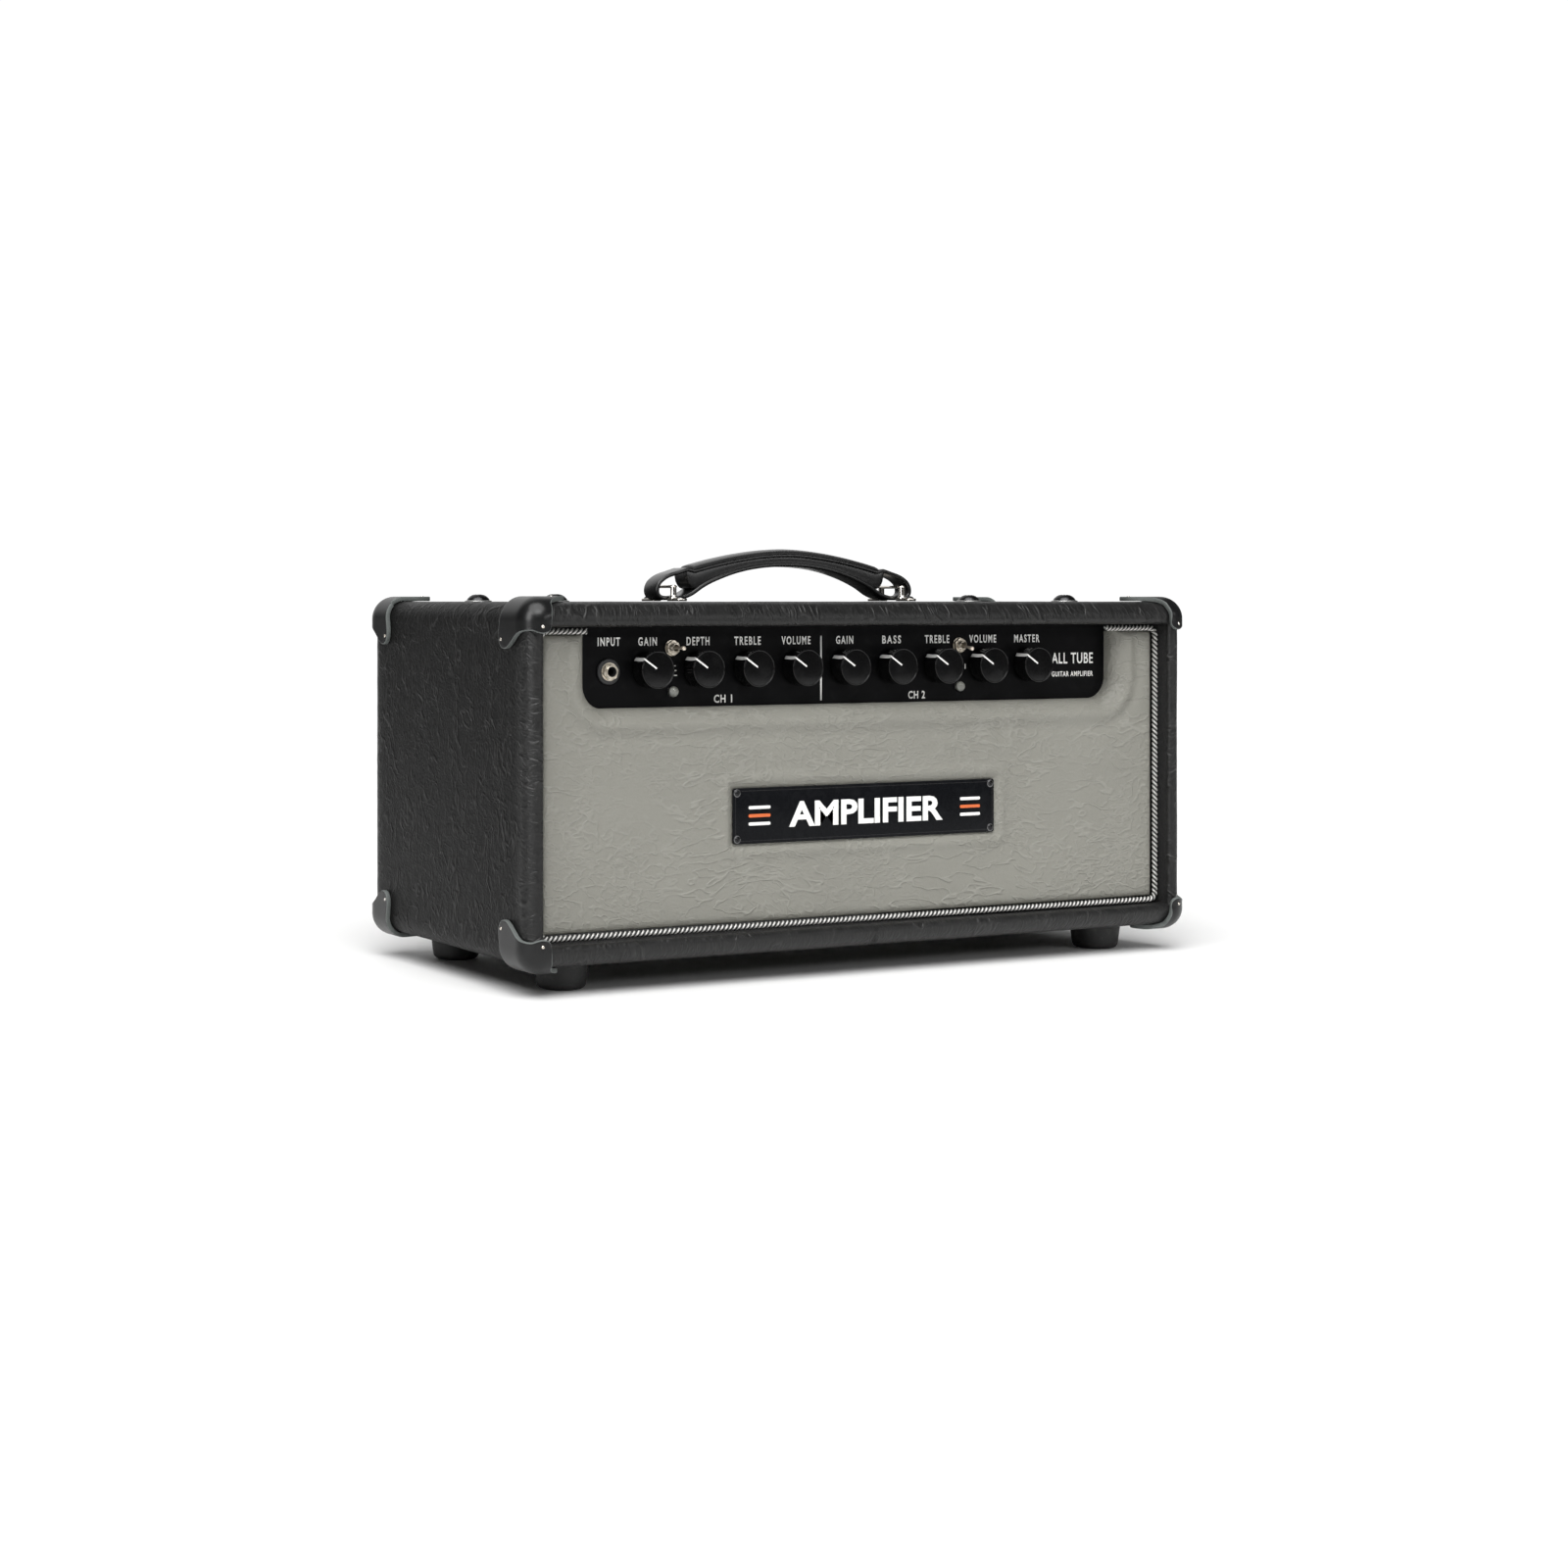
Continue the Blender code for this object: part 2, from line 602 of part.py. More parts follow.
def knobs():
    """Nine knobs that share one mesh."""
    places = [(x, KNOB_BACK, KNOB_Z) for x in KNOB_X]
    first = mesh_object(f"knob_{KNOB_NAMES[0]}", lathe(KNOB_PROFILE, 16), KNOB,
                        at=places[0], smooth=40)
    for name, place in zip(KNOB_NAMES[1:], places[1:]):
        link_object(f"knob_{name}", first.data, place)


def toggle_switches():
    """A nut and bushing, and a bat lever on its pivot, for each switch."""
    for number, (x, tilt) in enumerate(zip(TOGGLE_X, TOGGLE_TILT), 1):
        mesh_object(f"toggle_body_{number}", lathe(TOGGLE_BODY_PROFILE, 12), NICKEL,
                    at=(x, PANEL_Y, TOGGLE_Z), smooth=40)
        lever = mesh_object(f"toggle_lever_{number}", lathe(TOGGLE_LEVER_PROFILE, 10), NICKEL,
                            at=(x, TOGGLE_PIVOT_Y, TOGGLE_Z), smooth=60)
        lever.rotation_euler = (math.radians(tilt), 0.0, 0.0)


def indicator_lamps():
    for number, x in enumerate(LED_X, 1):
        mesh_object(f"led_{number}", lathe(LED_PROFILE, 12), LENS,
                    at=(x, PANEL_Y, LED_Z), smooth=50)


# ---- pot board: a strip of circuit board with a pot for each knob, bored for its shaft ----
POT_BOARD_X, POT_BOARD_Y, POT_BOARD_Z = (-206, 186), (-87.8, -86.2), above_base(206, 225)
POT_R, POT_Y = 8.0, (-98.8, -87.0)
POT_BORE_Y = (-105, -90.5)


def pot_board():
    pots = mesh_object("pot_board", box(POT_BOARD_X, POT_BOARD_Y, POT_BOARD_Z), BOARD)
    for i, x in enumerate(KNOB_X):
        round_tool(pots, f"pot_{i}", (x, 0, KNOB_Z), POT_R, POT_Y, 10, operation="UNION")
    for i, x in enumerate(KNOB_X):
        round_tool(pots, f"cut_pot_{i}", (x, 0, KNOB_Z), SHAFT_HOLE_R, POT_BORE_Y, 8)


# ---- transformers under the chassis floor: a core between two tapered end bells ----
TRANSFORMER_Y = 20.0
BELL_TAPER = 7.0


def transformer(name, x, core_w, depth, height, bell_w):
    """bell_w is the full width over both bells."""
    top = BELOW_CHASSIS
    rings = []
    for offset, inset in ((-bell_w / 2, BELL_TAPER), (-core_w / 2, 0.0),
                          (core_w / 2, 0.0), (bell_w / 2, BELL_TAPER)):
        front, rear = span(TRANSFORMER_Y, depth / 2 - inset)
        bottom = top - height + inset
        rings.append([(x + offset, front, top), (x + offset, rear, top),
                      (x + offset, rear, bottom), (x + offset, front, bottom)])
    mesh_object(name, loft(rings), IRON)


# ---- main circuit board on four posts ----
POST_X, POST_Y = (-165, 185), (-48, 52)
POST_HALF = 4
POST_INSET = 10                # from the board's edges to the post centres
BOARD_Z, BOARD_T = BASE_Z + 200.0, 1.6


def main_board():
    board = mesh_object(
        "main_board",
        box((POST_X[0] - POST_INSET, POST_X[1] + POST_INSET),
            (POST_Y[0] - POST_INSET, POST_Y[1] + POST_INSET), (BOARD_Z, BOARD_Z + BOARD_T)),
        BOARD,
    )
    post_z = (CHASSIS_Z[0] + SHEET + GAP, BOARD_Z + BOARD_T / 2)
    for x, y in product(POST_X, POST_Y):
        box_tool(board, f"post_{x}_{y}", span(x, POST_HALF), span(y, POST_HALF), post_z, "UNION")


# ---- tubes, hung below the chassis floor ----

def tube_row(name, count, pitch, y, length, radius):
    """A row of tubes centred on x = 0: a socket collar, the envelope and its pointed tip."""
    profile = [
        (0.0, 0.0), (radius + 1.5, 0.0), (radius + 1.5, -12.0), (radius, -12.5),
        (radius, -length + 9.0), (radius * 0.55, -length + 2.5),
        (2.2, -length + 1.0), (0.0, -length - 4.0),
    ]
    for i in range(count):
        x = pitch * (i - (count - 1) / 2)
        mesh_object(f"{name}_{i + 1}", lathe(profile, 12, "Z"), GLASS,
                    at=(x, y, BELOW_CHASSIS), smooth=50)


# ---- rear controls in the chassis's back wall ----
WALL_CLEARANCE = 0.5           # round a block where it passes through the wall
BLOCK_DEPTH = 20               # reach of a block inside the wall

SWITCH_X = 150.0
ROCKER_OFFSET = 11.0
ROCKER_TILT = 10.0             # degrees
# (y, z) of the shallow V-faced rocker
ROCKER_SECTION = [
    (-3.0, -10.5), (2.2, -10.5), (3.6, -9.5), (2.4, 0.0), (3.6, 9.5), (2.2, 10.5), (-3.0, 10.5),
]

INLET_X = 215.0

SPEAKER_X, SPEAKER_PITCH = -110.0, 30.0

SELECTOR_X = -205.0
# (radius, y from the wall): shaft, skirt and knob
SELECTOR_PROFILE = [
    (0.0, -12.0), (3.0, -12.0), (3.0, 0.8), (10.5, 0.8),
    (10.5, 3.5), (8.5, 5.0), (7.6, 12.0), (0.0, 12.0),
]


def rear_fitting(name, chassis, x, flange, block, block_name, wall_cut_name):
    """A flange outside the wall with a block through it, and the wall's opening.
    flange and block: (half width, half height, reach outside the wall)."""
    half_w, half_h, out = flange
    piece = mesh_object(
        name, box(span(x, half_w), (REAR_WALL + GAP, REAR_WALL + out), span(REAR_Z, half_h)),
        PLASTIC)
    half_w, half_h, out = block
    box_tool(piece, block_name, span(x, half_w), (REAR_WALL - BLOCK_DEPTH, REAR_WALL + out),
             span(REAR_Z, half_h), "UNION")
    box_tool(chassis, wall_cut_name, span(x, half_w + WALL_CLEARANCE), span(REAR_WALL, 5),
             span(REAR_Z, half_h + WALL_CLEARANCE))
    return piece


def rear_switches(chassis):
    housing = rear_fitting("rear_switch_housing", chassis, SWITCH_X, flange=(23, 16, 2.6),
                           block=(20.5, 14, 2.0), block_name="switch_block",
                           wall_cut_name="cut_switch")
    places = span(SWITCH_X, ROCKER_OFFSET)
    for k, (name, x) in enumerate(zip(("standby_rocker", "power_rocker"), places)):
        box_tool(housing, f"cut_rocker_{k}", span(x, 7.6), span(REAR_WALL, 12), span(REAR_Z, 12))
        rocker = mesh_object(name, extrude_x(ROCKER_SECTION, (-7.0, 7.0)), PLASTIC,
                             at=(x, REAR_WALL + 1.0, REAR_Z))
        rocker.rotation_euler = (math.radians(ROCKER_TILT), 0.0, 0.0)


def mains_inlet(chassis):
    inlet = rear_fitting("mains_inlet", chassis, INLET_X, flange=(24, 13, 3.2),
                         block=(15, 11, 2.5), block_name="inlet_block",
                         wall_cut_name="cut_inlet_wall")
    box_tool(inlet, "cut_inlet", span(INLET_X, 12.2), (REAR_WALL - 14, REAR_WALL + 12),
             span(REAR_Z, 8.2))


def speaker_jacks(chassis):
    """A block inside the wall with three bored barrels through it."""
    jacks = mesh_object(
        "speaker_jack_block",
        box(span(SPEAKER_X, 48), (REAR_WALL - 18, REAR_WALL - SHEET - GAP), span(REAR_Z, 12)),
        PLASTIC,
    )
    for k in range(3):
        at = (SPEAKER_X + SPEAKER_PITCH * (k - 1), REAR_WALL, REAR_Z)
        round_tool(jacks, f"speaker_barrel_{k}", at, 5.4, (-5, 5.5), 10, operation="UNION")
        round_tool(jacks, f"cut_speaker_{k}", at, 3.4, (-14, 12), 8)
        round_tool(chassis, f"cut_speaker_wall_{k}", at, 6.2, (-8, 8), 10)


def impedance_selector(chassis):
    at = (SELECTOR_X, REAR_WALL, REAR_Z)
    mesh_object("impedance_selector", lathe(SELECTOR_PROFILE, 14), KNOB, at=at, smooth=40)
    round_tool(chassis, "cut_selector", at, 3.8, (-8, 8), 10)


def build():
    for old in list(bpy.data.objects):
        bpy.data.objects.remove(old, do_unlink=True)

    cabinet_shell()
    front_baffle()
    baffle_piping()
    nameplate()
    corner_protectors()
    feet()
    chassis_bolts()
    handle_strap()
    handle_brackets()
    rear_panel()
    rear_vent_grille()

    chassis = chassis_pan()
    control_panel()
    input_jack()
    knobs()
    pot_board()
    toggle_switches()
    indicator_lamps()
    transformer("power_transformer", x=188.0, core_w=48.0, depth=86.0, height=78.0, bell_w=84.0)
    transformer("output_transformer", x=-188.0, core_w=40.0, depth=72.0, height=64.0, bell_w=70.0)
    main_board()
    tube_row("power_tube", count=4, pitch=75.0, y=52.0, length=84.0, radius=11.0)
    tube_row("preamp_tube", count=3, pitch=80.0, y=-28.0, length=62.0, radius=10.5)
    rear_switches(chassis)
    mains_inlet(chassis)
    speaker_jacks(chassis)
    impedance_selector(chassis)


build()
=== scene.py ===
"""Looks of the guitar amplifier head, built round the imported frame. Lengths are in millimetres
until a piece is finished; the frame is metres, +Z up, front towards -Y."""

import math

import bmesh
import bpy
import numpy as np
from mathutils import Matrix, Vector, noise

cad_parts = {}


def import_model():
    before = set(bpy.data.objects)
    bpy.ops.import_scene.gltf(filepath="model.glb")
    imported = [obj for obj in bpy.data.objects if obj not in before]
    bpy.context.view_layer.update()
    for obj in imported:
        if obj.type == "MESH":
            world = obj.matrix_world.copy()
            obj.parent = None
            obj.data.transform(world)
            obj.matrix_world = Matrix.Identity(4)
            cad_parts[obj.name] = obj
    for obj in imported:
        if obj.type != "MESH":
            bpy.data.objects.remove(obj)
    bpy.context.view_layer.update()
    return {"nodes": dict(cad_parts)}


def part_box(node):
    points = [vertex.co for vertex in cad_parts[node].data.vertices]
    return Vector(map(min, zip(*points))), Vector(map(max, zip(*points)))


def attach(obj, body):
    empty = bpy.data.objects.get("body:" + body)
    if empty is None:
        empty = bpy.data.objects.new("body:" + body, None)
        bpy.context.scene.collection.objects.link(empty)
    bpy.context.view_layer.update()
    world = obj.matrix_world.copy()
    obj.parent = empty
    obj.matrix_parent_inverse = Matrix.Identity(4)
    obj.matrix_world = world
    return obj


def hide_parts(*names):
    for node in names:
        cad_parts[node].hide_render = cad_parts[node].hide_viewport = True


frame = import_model()
SC = bpy.context.scene
MM = 0.001


def box_mm(node):
    lo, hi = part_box(node)
    return np.array(lo) * 1000, np.array(hi) * 1000


SHELL_LO, SHELL_HI = box_mm("cabinet_shell")
HX = float(SHELL_HI[0])
Z0, TOP = float(SHELL_LO[2]), float(SHELL_HI[2])
FRONT, REAR = -134.0, 134.0
EDGE_R, NOSE_R = 14.0, 4.73
WALLS = {"side": 14.1, "top": 18.6, "bottom": 17.3}
PANEL_Y = -102.0
PANEL_FACE = float(box_mm("control_panel")[0][1])
BAFFLE_LO, BAFFLE_HI = box_mm("front_baffle")
NOTCH_X, NOTCH_Z, NOTCH_R, NOTCH_ROLL = 250.5, Z0 + 187.4, 18.0, 12.0
PLATE_LO, PLATE_HI = box_mm("nameplate")

# ---------------------------------------------------------------- materials


class Mat:
    """A Principled material with small helpers for its node tree."""

    def __init__(self, name, colour, rough, metal=0.0, **inputs):
        self.m = bpy.data.materials.new(name)
        self.m.use_nodes = True
        self.t = self.m.node_tree
        self.b = self.t.nodes["Principled BSDF"]
        self.b.inputs["Base Color"].default_value = (*colour, 1)
        self.b.inputs["Roughness"].default_value = rough
        self.b.inputs["Metallic"].default_value = metal
        for key, value in inputs.items():
            self.b.inputs[key.replace("_", " ")].default_value = value
        self.m.diffuse_color = (*colour, 1)
        self.last_bump = None

    def node(self, kind, **props):
        n = self.t.nodes.new(kind)
        for k, v in props.items():
            setattr(n, k, v)
        return n

    def link(self, a, b):
        self.t.links.new(a, b)

    def coords(self):
        return self.node("ShaderNodeTexCoord").outputs["Object"]

    def attribute(self, name):
        return self.node("ShaderNodeAttribute", attribute_name=name).outputs["Vector"]

    def scale(self, vector, xyz, loc=(0, 0, 0), rot=(0, 0, 0)):
        n = self.node("ShaderNodeMapping")
        n.inputs["Scale"].default_value = xyz
        n.inputs["Location"].default_value = loc
        n.inputs["Rotation"].default_value = rot
        self.link(vector, n.inputs["Vector"])
        return n.outputs["Vector"]

    def noise(self, vector, scale, detail=3.0, rough=0.5, distort=0.0):
        n = self.node("ShaderNodeTexNoise")
        n.inputs["Scale"].default_value = scale
        n.inputs["Detail"].default_value = detail
        n.inputs["Roughness"].default_value = rough
        n.inputs["Distortion"].default_value = distort
        self.link(vector, n.inputs["Vector"])
        return n.outputs["Fac"]

    def voronoi(self, vector, scale, feature="DISTANCE_TO_EDGE"):
        n = self.node("ShaderNodeTexVoronoi", feature=feature)
        n.inputs["Scale"].default_value = scale
        self.link(vector, n.inputs["Vector"])
        return n.outputs["Distance"]

    def math(self, op, a, b=None, c=None):
        n = self.node("ShaderNodeMath", operation=op)
        for i, v in enumerate((a, b, c)):
            if v is None:
                continue
            if isinstance(v, (int, float)):
                n.inputs[i].default_value = v
            else:
                self.link(v, n.inputs[i])
        return n.outputs[0]

    def ramp(self, fac, low, high, a=0.0, b=1.0):
        n = self.node("ShaderNodeMapRange")
        n.inputs["From Min"].default_value = low
        n.inputs["From Max"].default_value = high
        n.inputs["To Min"].default_value = a
        n.inputs["To Max"].default_value = b
        n.interpolation_type = "SMOOTHSTEP"
        self.link(fac, n.inputs["Value"])
        return n.outputs["Result"]

    def ridge(self, fac, width):
        """Thin lines where a noise field crosses its middle: 1 on the line."""
        off = self.math("ABSOLUTE", self.math("SUBTRACT", fac, 0.5))
        return self.ramp(off, 0.0, width, 1.0, 0.0)

    def mix(self, fac, a, b):
        n = self.node("ShaderNodeMix", data_type="RGBA")
        if isinstance(fac, (int, float)):
            n.inputs["Factor"].default_value = fac
        else:
            self.link(fac, n.inputs["Factor"])
        for slot, v in (("A", a), ("B", b)):
            sock = [s for s in n.inputs if s.name == slot and s.type == "RGBA"][0]
            if isinstance(v, tuple):
                sock.default_value = (*v, 1)
            else:
                self.link(v, sock)
        return [s for s in n.outputs if s.type == "RGBA"][0]

    def colour(self, socket):
        self.link(socket, self.b.inputs["Base Color"])

    def rough(self, socket):
        self.link(socket, self.b.inputs["Roughness"])

    def bump(self, height, distance, strength=1.0):
        n = self.node("ShaderNodeBump")
        n.inputs["Distance"].default_value = distance
        n.inputs["Strength"].default_value = strength
        self.link(height, n.inputs["Height"])
        if self.last_bump is not None:
            self.link(self.last_bump, n.inputs["Normal"])
        self.last_bump = n.outputs["Normal"]
        self.link(self.last_bump, self.b.inputs["Normal"])


def lines_at(m, vector, scale, width, shift):
    """Creases as a pair of fields: the lit flank of each line and, beside it, its shaded flank."""
    lit = m.ridge(m.noise(vector, scale, 2.0, 0.5), width)
    shade = m.ridge(m.noise(m.scale(vector, (1, 1, 1), shift), scale, 2.0, 0.5), width * 1.1)
    return lit, shade


def bent(m, vector, scale, amount):
    """The coordinates pushed about by a slow noise, so that lines drift and branch."""
    warp = m.node("ShaderNodeTexNoise")
    warp.inputs["Scale"].default_value = scale
    warp.inputs["Detail"].default_value = 2.0
    m.link(vector, warp.inputs["Vector"])
    bend = m.node("ShaderNodeVectorMath", operation="MULTIPLY_ADD")
    m.link(warp.outputs["Color"], bend.inputs[0])
    bend.inputs[1].default_value = amount
    m.link(vector, bend.inputs[2])
    return bend.outputs[0]


def crease_height(m, vector, along):
    """Creased vinyl: (height, lit flanks, shaded flanks, soft relief). `along` squeezes the first
    coordinate, so that creases run that way."""
    flow = m.scale(bent(m, vector, 24.0, (0.022, 0.022, 0.0)), (along, 1.0, 1.0))
    big, big_dark = lines_at(m, flow, 58.0, 0.048, (0.0, 0.0012, 0.0))
    mid, mid_dark = lines_at(m, m.scale(flow, (1, 1, 1), (3.1, 1.7, 0.4)), 150.0, 0.075, (0.0, 0.0009, 0.0))
    cells = m.ramp(m.voronoi(m.scale(flow, (1.5, 1, 1), (1.2, 5.0, 1.0)), 260.0), 0.0, 0.25)
    relief = m.noise(m.scale(flow, (1.6, 1, 1), (0.2, 2.0, 1.0)), 105.0, 3.0, 0.55)
    pores = m.noise(vector, 1500.0, 2.0, 0.6)
    patch = m.ramp(m.noise(vector, 30.0, 2.0), 0.38, 0.58, 0.04, 1.0)
    patch_2 = m.ramp(m.noise(m.scale(vector, (1, 1, 1), (5.0, 2.0, 0.0)), 19.0, 2.0), 0.36, 0.58, 0.35, 1.0)
    lit = m.math("MAXIMUM", m.math("MULTIPLY", big, patch), m.math("MULTIPLY", m.math("MULTIPLY", mid, 0.32), patch_2))
    dark = m.math("MAXIMUM", m.math("MULTIPLY", big_dark, patch), m.math("MULTIPLY", m.math("MULTIPLY", mid_dark, 0.32), patch_2))
    height = m.math("ADD", m.math("MULTIPLY", lit, 0.62), m.math("MULTIPLY", cells, 0.10))
    height = m.math("ADD", height, m.math("MULTIPLY", relief, 0.20))
    height = m.math("ADD", height, m.math("MULTIPLY", pores, 0.06))
    return height, lit, dark, relief


def make_black_vinyl():
    m = Mat("black_vinyl", (0.022, 0.022, 0.0215), 0.42)
    m.b.inputs["Specular IOR Level"].default_value = 0.20
    flow = m.attribute("flow")
    sep = m.node("ShaderNodeSeparateXYZ")
    m.link(flow, sep.inputs[0])

    def combine(a, b):
        n = m.node("ShaderNodeCombineXYZ")
        m.link(a, n.inputs[0])
        m.link(b, n.inputs[1])
        return n.outputs[0]

    body = crease_height(m, combine(sep.outputs[0], sep.outputs[1]), 0.66)
    lip = crease_height(m, combine(sep.outputs[1], sep.outputs[0]), 0.50)

    def pick(a, b):
        n = m.node("ShaderNodeMix", data_type="FLOAT")
        m.link(sep.outputs[2], n.inputs[0])
        m.link(a, n.inputs[2])
        m.link(b, n.inputs[3])
        return n.outputs[0]

    height, lit, dark, relief = (pick(p, q) for p, q in zip(body, lip))
    tone = m.mix(m.ramp(relief, 0.35, 0.68), (0.0076, 0.0076, 0.0075), (0.0096, 0.0095, 0.0094))
    # painted shade along the shaded flank of each crease, then painted highlight along its lit flank
    tone = m.mix(m.math("MULTIPLY", dark, 0.65), tone, (0.0040, 0.0040, 0.0040))
    tone = m.mix(m.math("MULTIPLY", lit, 0.55), tone, (0.0245, 0.0242, 0.0236))
    m.colour(tone)
    m.rough(m.ramp(relief, 0.3, 0.7, 0.36, 0.46))
    # the boards are duller than the stretched lips at the front
    m.link(m.ramp(sep.outputs[2], 0.0, 1.0, 0.085, 0.36), m.b.inputs["Specular IOR Level"])
    m.bump(height, 0.00105, 0.85)
    return m.m


def make_grey_vinyl():
    m = Mat("grey_vinyl", (0.30, 0.295, 0.255), 0.5)
    m.b.inputs["Specular IOR Level"].default_value = 0.40
    v = m.coords()
    flow = bent(m, v, 11.0, (0.034, 0.0, 0.034))
    big, big_dark = lines_at(m, m.scale(flow, (0.36, 1, 1)), 80.0, 0.036, (0.0, 0.0, 0.0011))
    mid, mid_dark = lines_at(m, m.scale(flow, (0.50, 1, 0.72), (4, 0, 2), (0, 0.5, 0)), 135.0, 0.055, (0.0, 0.0, 0.0009))
    small, small_dark = lines_at(m, m.scale(flow, (0.42, 1, 1.0), (8, 0, 5)), 190.0, 0.075, (0.0, 0.0, 0.0008))
    relief = m.noise(m.scale(flow, (0.6, 1, 1), (1, 0, 5)), 120.0, 3.0, 0.55)
    fine = m.noise(v, 600.0, 3.0, 0.6)
    pores = m.noise(v, 1800.0, 2.0, 0.6)
    patch = m.ramp(m.noise(v, 12.0, 2.0), 0.38, 0.56, 0.10, 1.0)
    patch_2 = m.ramp(m.noise(m.scale(v, (1, 1, 1), (7, 3, 1)), 15.0, 2.0), 0.40, 0.60, 0.10, 1.0)
    patch_3 = m.ramp(m.noise(m.scale(v, (1, 1, 1), (2, 6, 4)), 17.0, 2.0), 0.45, 0.62, 0.0, 1.0)

    def gather(a_, b_, c_):
        first = m.math("MAXIMUM", m.math("MULTIPLY", a_, patch), m.math("MULTIPLY", m.math("MULTIPLY", b_, 0.75), patch_2))
        return m.math("MAXIMUM", first, m.math("MULTIPLY", m.math("MULTIPLY", c_, 0.55), patch_3))

    lit, dark = gather(big, mid, small), gather(big_dark, mid_dark, small_dark)
    height = m.math("ADD", m.math("ADD", m.math("MULTIPLY", lit, 0.62), m.math("MULTIPLY", relief, 0.62)),
                    m.math("ADD", m.math("MULTIPLY", fine, 0.14), m.math("MULTIPLY", pores, 0.05)))
    tone = m.mix(m.ramp(m.noise(v, 9.0, 3.0), 0.3, 0.7), (0.226, 0.2225, 0.1955), (0.244, 0.2405, 0.2115))
    tone = m.mix(m.math("MULTIPLY", m.ramp(fine, 0.3, 0.7), 0.35), tone, (0.268, 0.264, 0.233))
    # painted shade along the shaded flank of each crease, then painted highlight along its lit flank
    tone = m.mix(m.math("MULTIPLY", dark, 0.34), tone, (0.175, 0.172, 0.150))
    tone = m.mix(m.math("MULTIPLY", lit, 0.30), tone, (0.370, 0.366, 0.328))
    m.colour(tone)
    m.rough(m.ramp(relief, 0.3, 0.7, 0.38, 0.50))
    m.bump(height, 0.00088, 0.80)
    return m.m


def make_leather(name, base=(0.016, 0.0165, 0.016), rough=0.27, coat=0.35, spec=0.5):
    m = Mat(name, base, rough)
    m.b.inputs["Coat Weight"].default_value = coat
    m.b.inputs["Coat Roughness"].default_value = 0.27
    m.b.inputs["Specular IOR Level"].default_value = spec
    v = m.coords()
    grain = m.voronoi(v, 1100.0)
    fine = m.noise(v, 1700.0, 3.0)
    slow = m.noise(v, 40.0, 2.0)
    m.colour(m.mix(m.ramp(slow, 0.3, 0.7), base, tuple(q * 1.25 for q in base)))
    m.rough(m.ramp(slow, 0.3, 0.7, rough - 0.01, rough + 0.02))
    m.bump(m.math("ADD", m.math("MULTIPLY", m.ramp(grain, 0.0, 0.2), 0.2), m.math("MULTIPLY", fine, 0.3)), 0.00004, 0.3)
    return m.m


def make_cut_edge():
    m = Mat("leather_cut_edge", (0.075, 0.088, 0.082), 0.62)
    v = m.coords()
    fibre = m.noise(v, 1700.0, 4.0, 0.7)
    m.colour(m.mix(m.ramp(fibre, 0.3, 0.7), (0.092, 0.103, 0.099), (0.142, 0.155, 0.149)))
    m.bump(fibre, 0.0002, 0.5)
    return m.m


def make_metal(name, colour, rough, brushed=None, tint=None, metal=1.0):
    m = Mat(name, colour, rough, metal)
    v = m.coords()
    if brushed:
        streak = m.noise(m.scale(v, brushed), 1.0, 3.0, 0.6)
    else:
        streak = m.noise(v, 900.0, 3.0, 0.6)
    smear = m.noise(v, 120.0, 3.0)
    m.rough(m.math("ADD", m.ramp(streak, 0.3, 0.7, rough * 0.8, rough * 1.25), m.ramp(smear, 0.45, 0.7, 0.0, 0.07)))
    m.colour(m.mix(m.ramp(smear, 0.35, 0.7), colour, tint or tuple(c * 0.82 for c in colour)))
    m.bump(streak, 0.00003, 0.4)
    return m.m


def make_plastic(name, colour, rough, grain=0.00004, scratch=0.5, coat=0.0, scale=1800.0, spec=0.5):
    m = Mat(name, colour, rough)
    m.b.inputs["Specular IOR Level"].default_value = spec
    m.b.inputs["Coat Weight"].default_value = coat
    v = m.coords()
    fine = m.noise(v, scale, 3.0, 0.6)
    smear = m.noise(v, 90.0, 4.0, 0.6, 0.5)
    m.rough(m.math("ADD", m.ramp(smear, 0.4, 0.72, rough, rough + 0.10 * scratch), m.ramp(fine, 0.3, 0.7, -0.02, 0.03)))
    m.colour(m.mix(m.ramp(smear, 0.5, 0.8), colour, tuple(min(1, c * 1.25 + 0.002) for c in colour)))
    m.bump(fine, grain, 0.6)
    return m.m


def make_rubber():
    m = Mat("foot_rubber", (0.012, 0.012, 0.012), 0.62)
    v = m.coords()
    fine = m.noise(v, 1300.0, 4.0, 0.65)
    dust = m.noise(v, 130.0, 4.0, 0.6)
    m.colour(m.mix(m.ramp(dust, 0.5, 0.78), (0.0105, 0.0105, 0.0105), (0.032, 0.031, 0.030)))
    m.rough(m.ramp(fine, 0.3, 0.7, 0.52, 0.70))
    m.bump(fine, 0.00012, 0.6)
    return m.m


def make_cord(name, colour, dark):
    m = Mat(name, colour, 0.38, 0.25)
    v = m.coords()
    thread = m.noise(v, 2600.0, 2.0, 0.5)
    m.colour(m.mix(m.ramp(thread, 0.35, 0.65), dark, colour))
    m.bump(thread, 0.00012, 0.7)
    return m.m


def make_print(name, colour, rough=0.5, emit=0.0):
    m = Mat(name, colour, rough)
    v = m.coords()
    fine = m.noise(v, 1500.0, 3.0)
    m.colour(m.mix(m.ramp(fine, 0.35, 0.75), colour, tuple(c * 0.86 for c in colour)))
    m.rough(m.ramp(fine, 0.3, 0.7, rough - 0.05, rough + 0.08))
    return m.m


def make_glass(name, colour, rough=0.03, transmission=1.0):
    m = Mat(name, colour, rough)
    m.b.inputs["Transmission Weight"].default_value = transmission
    m.b.inputs["IOR"].default_value = 1.45
    v = m.coords()
    m.rough(m.ramp(m.noise(v, 300.0, 3.0), 0.3, 0.75, rough, rough + 0.08))
    m.bump(m.noise(v, 150.0, 2.0), 0.00005, 0.5)
    return m.m


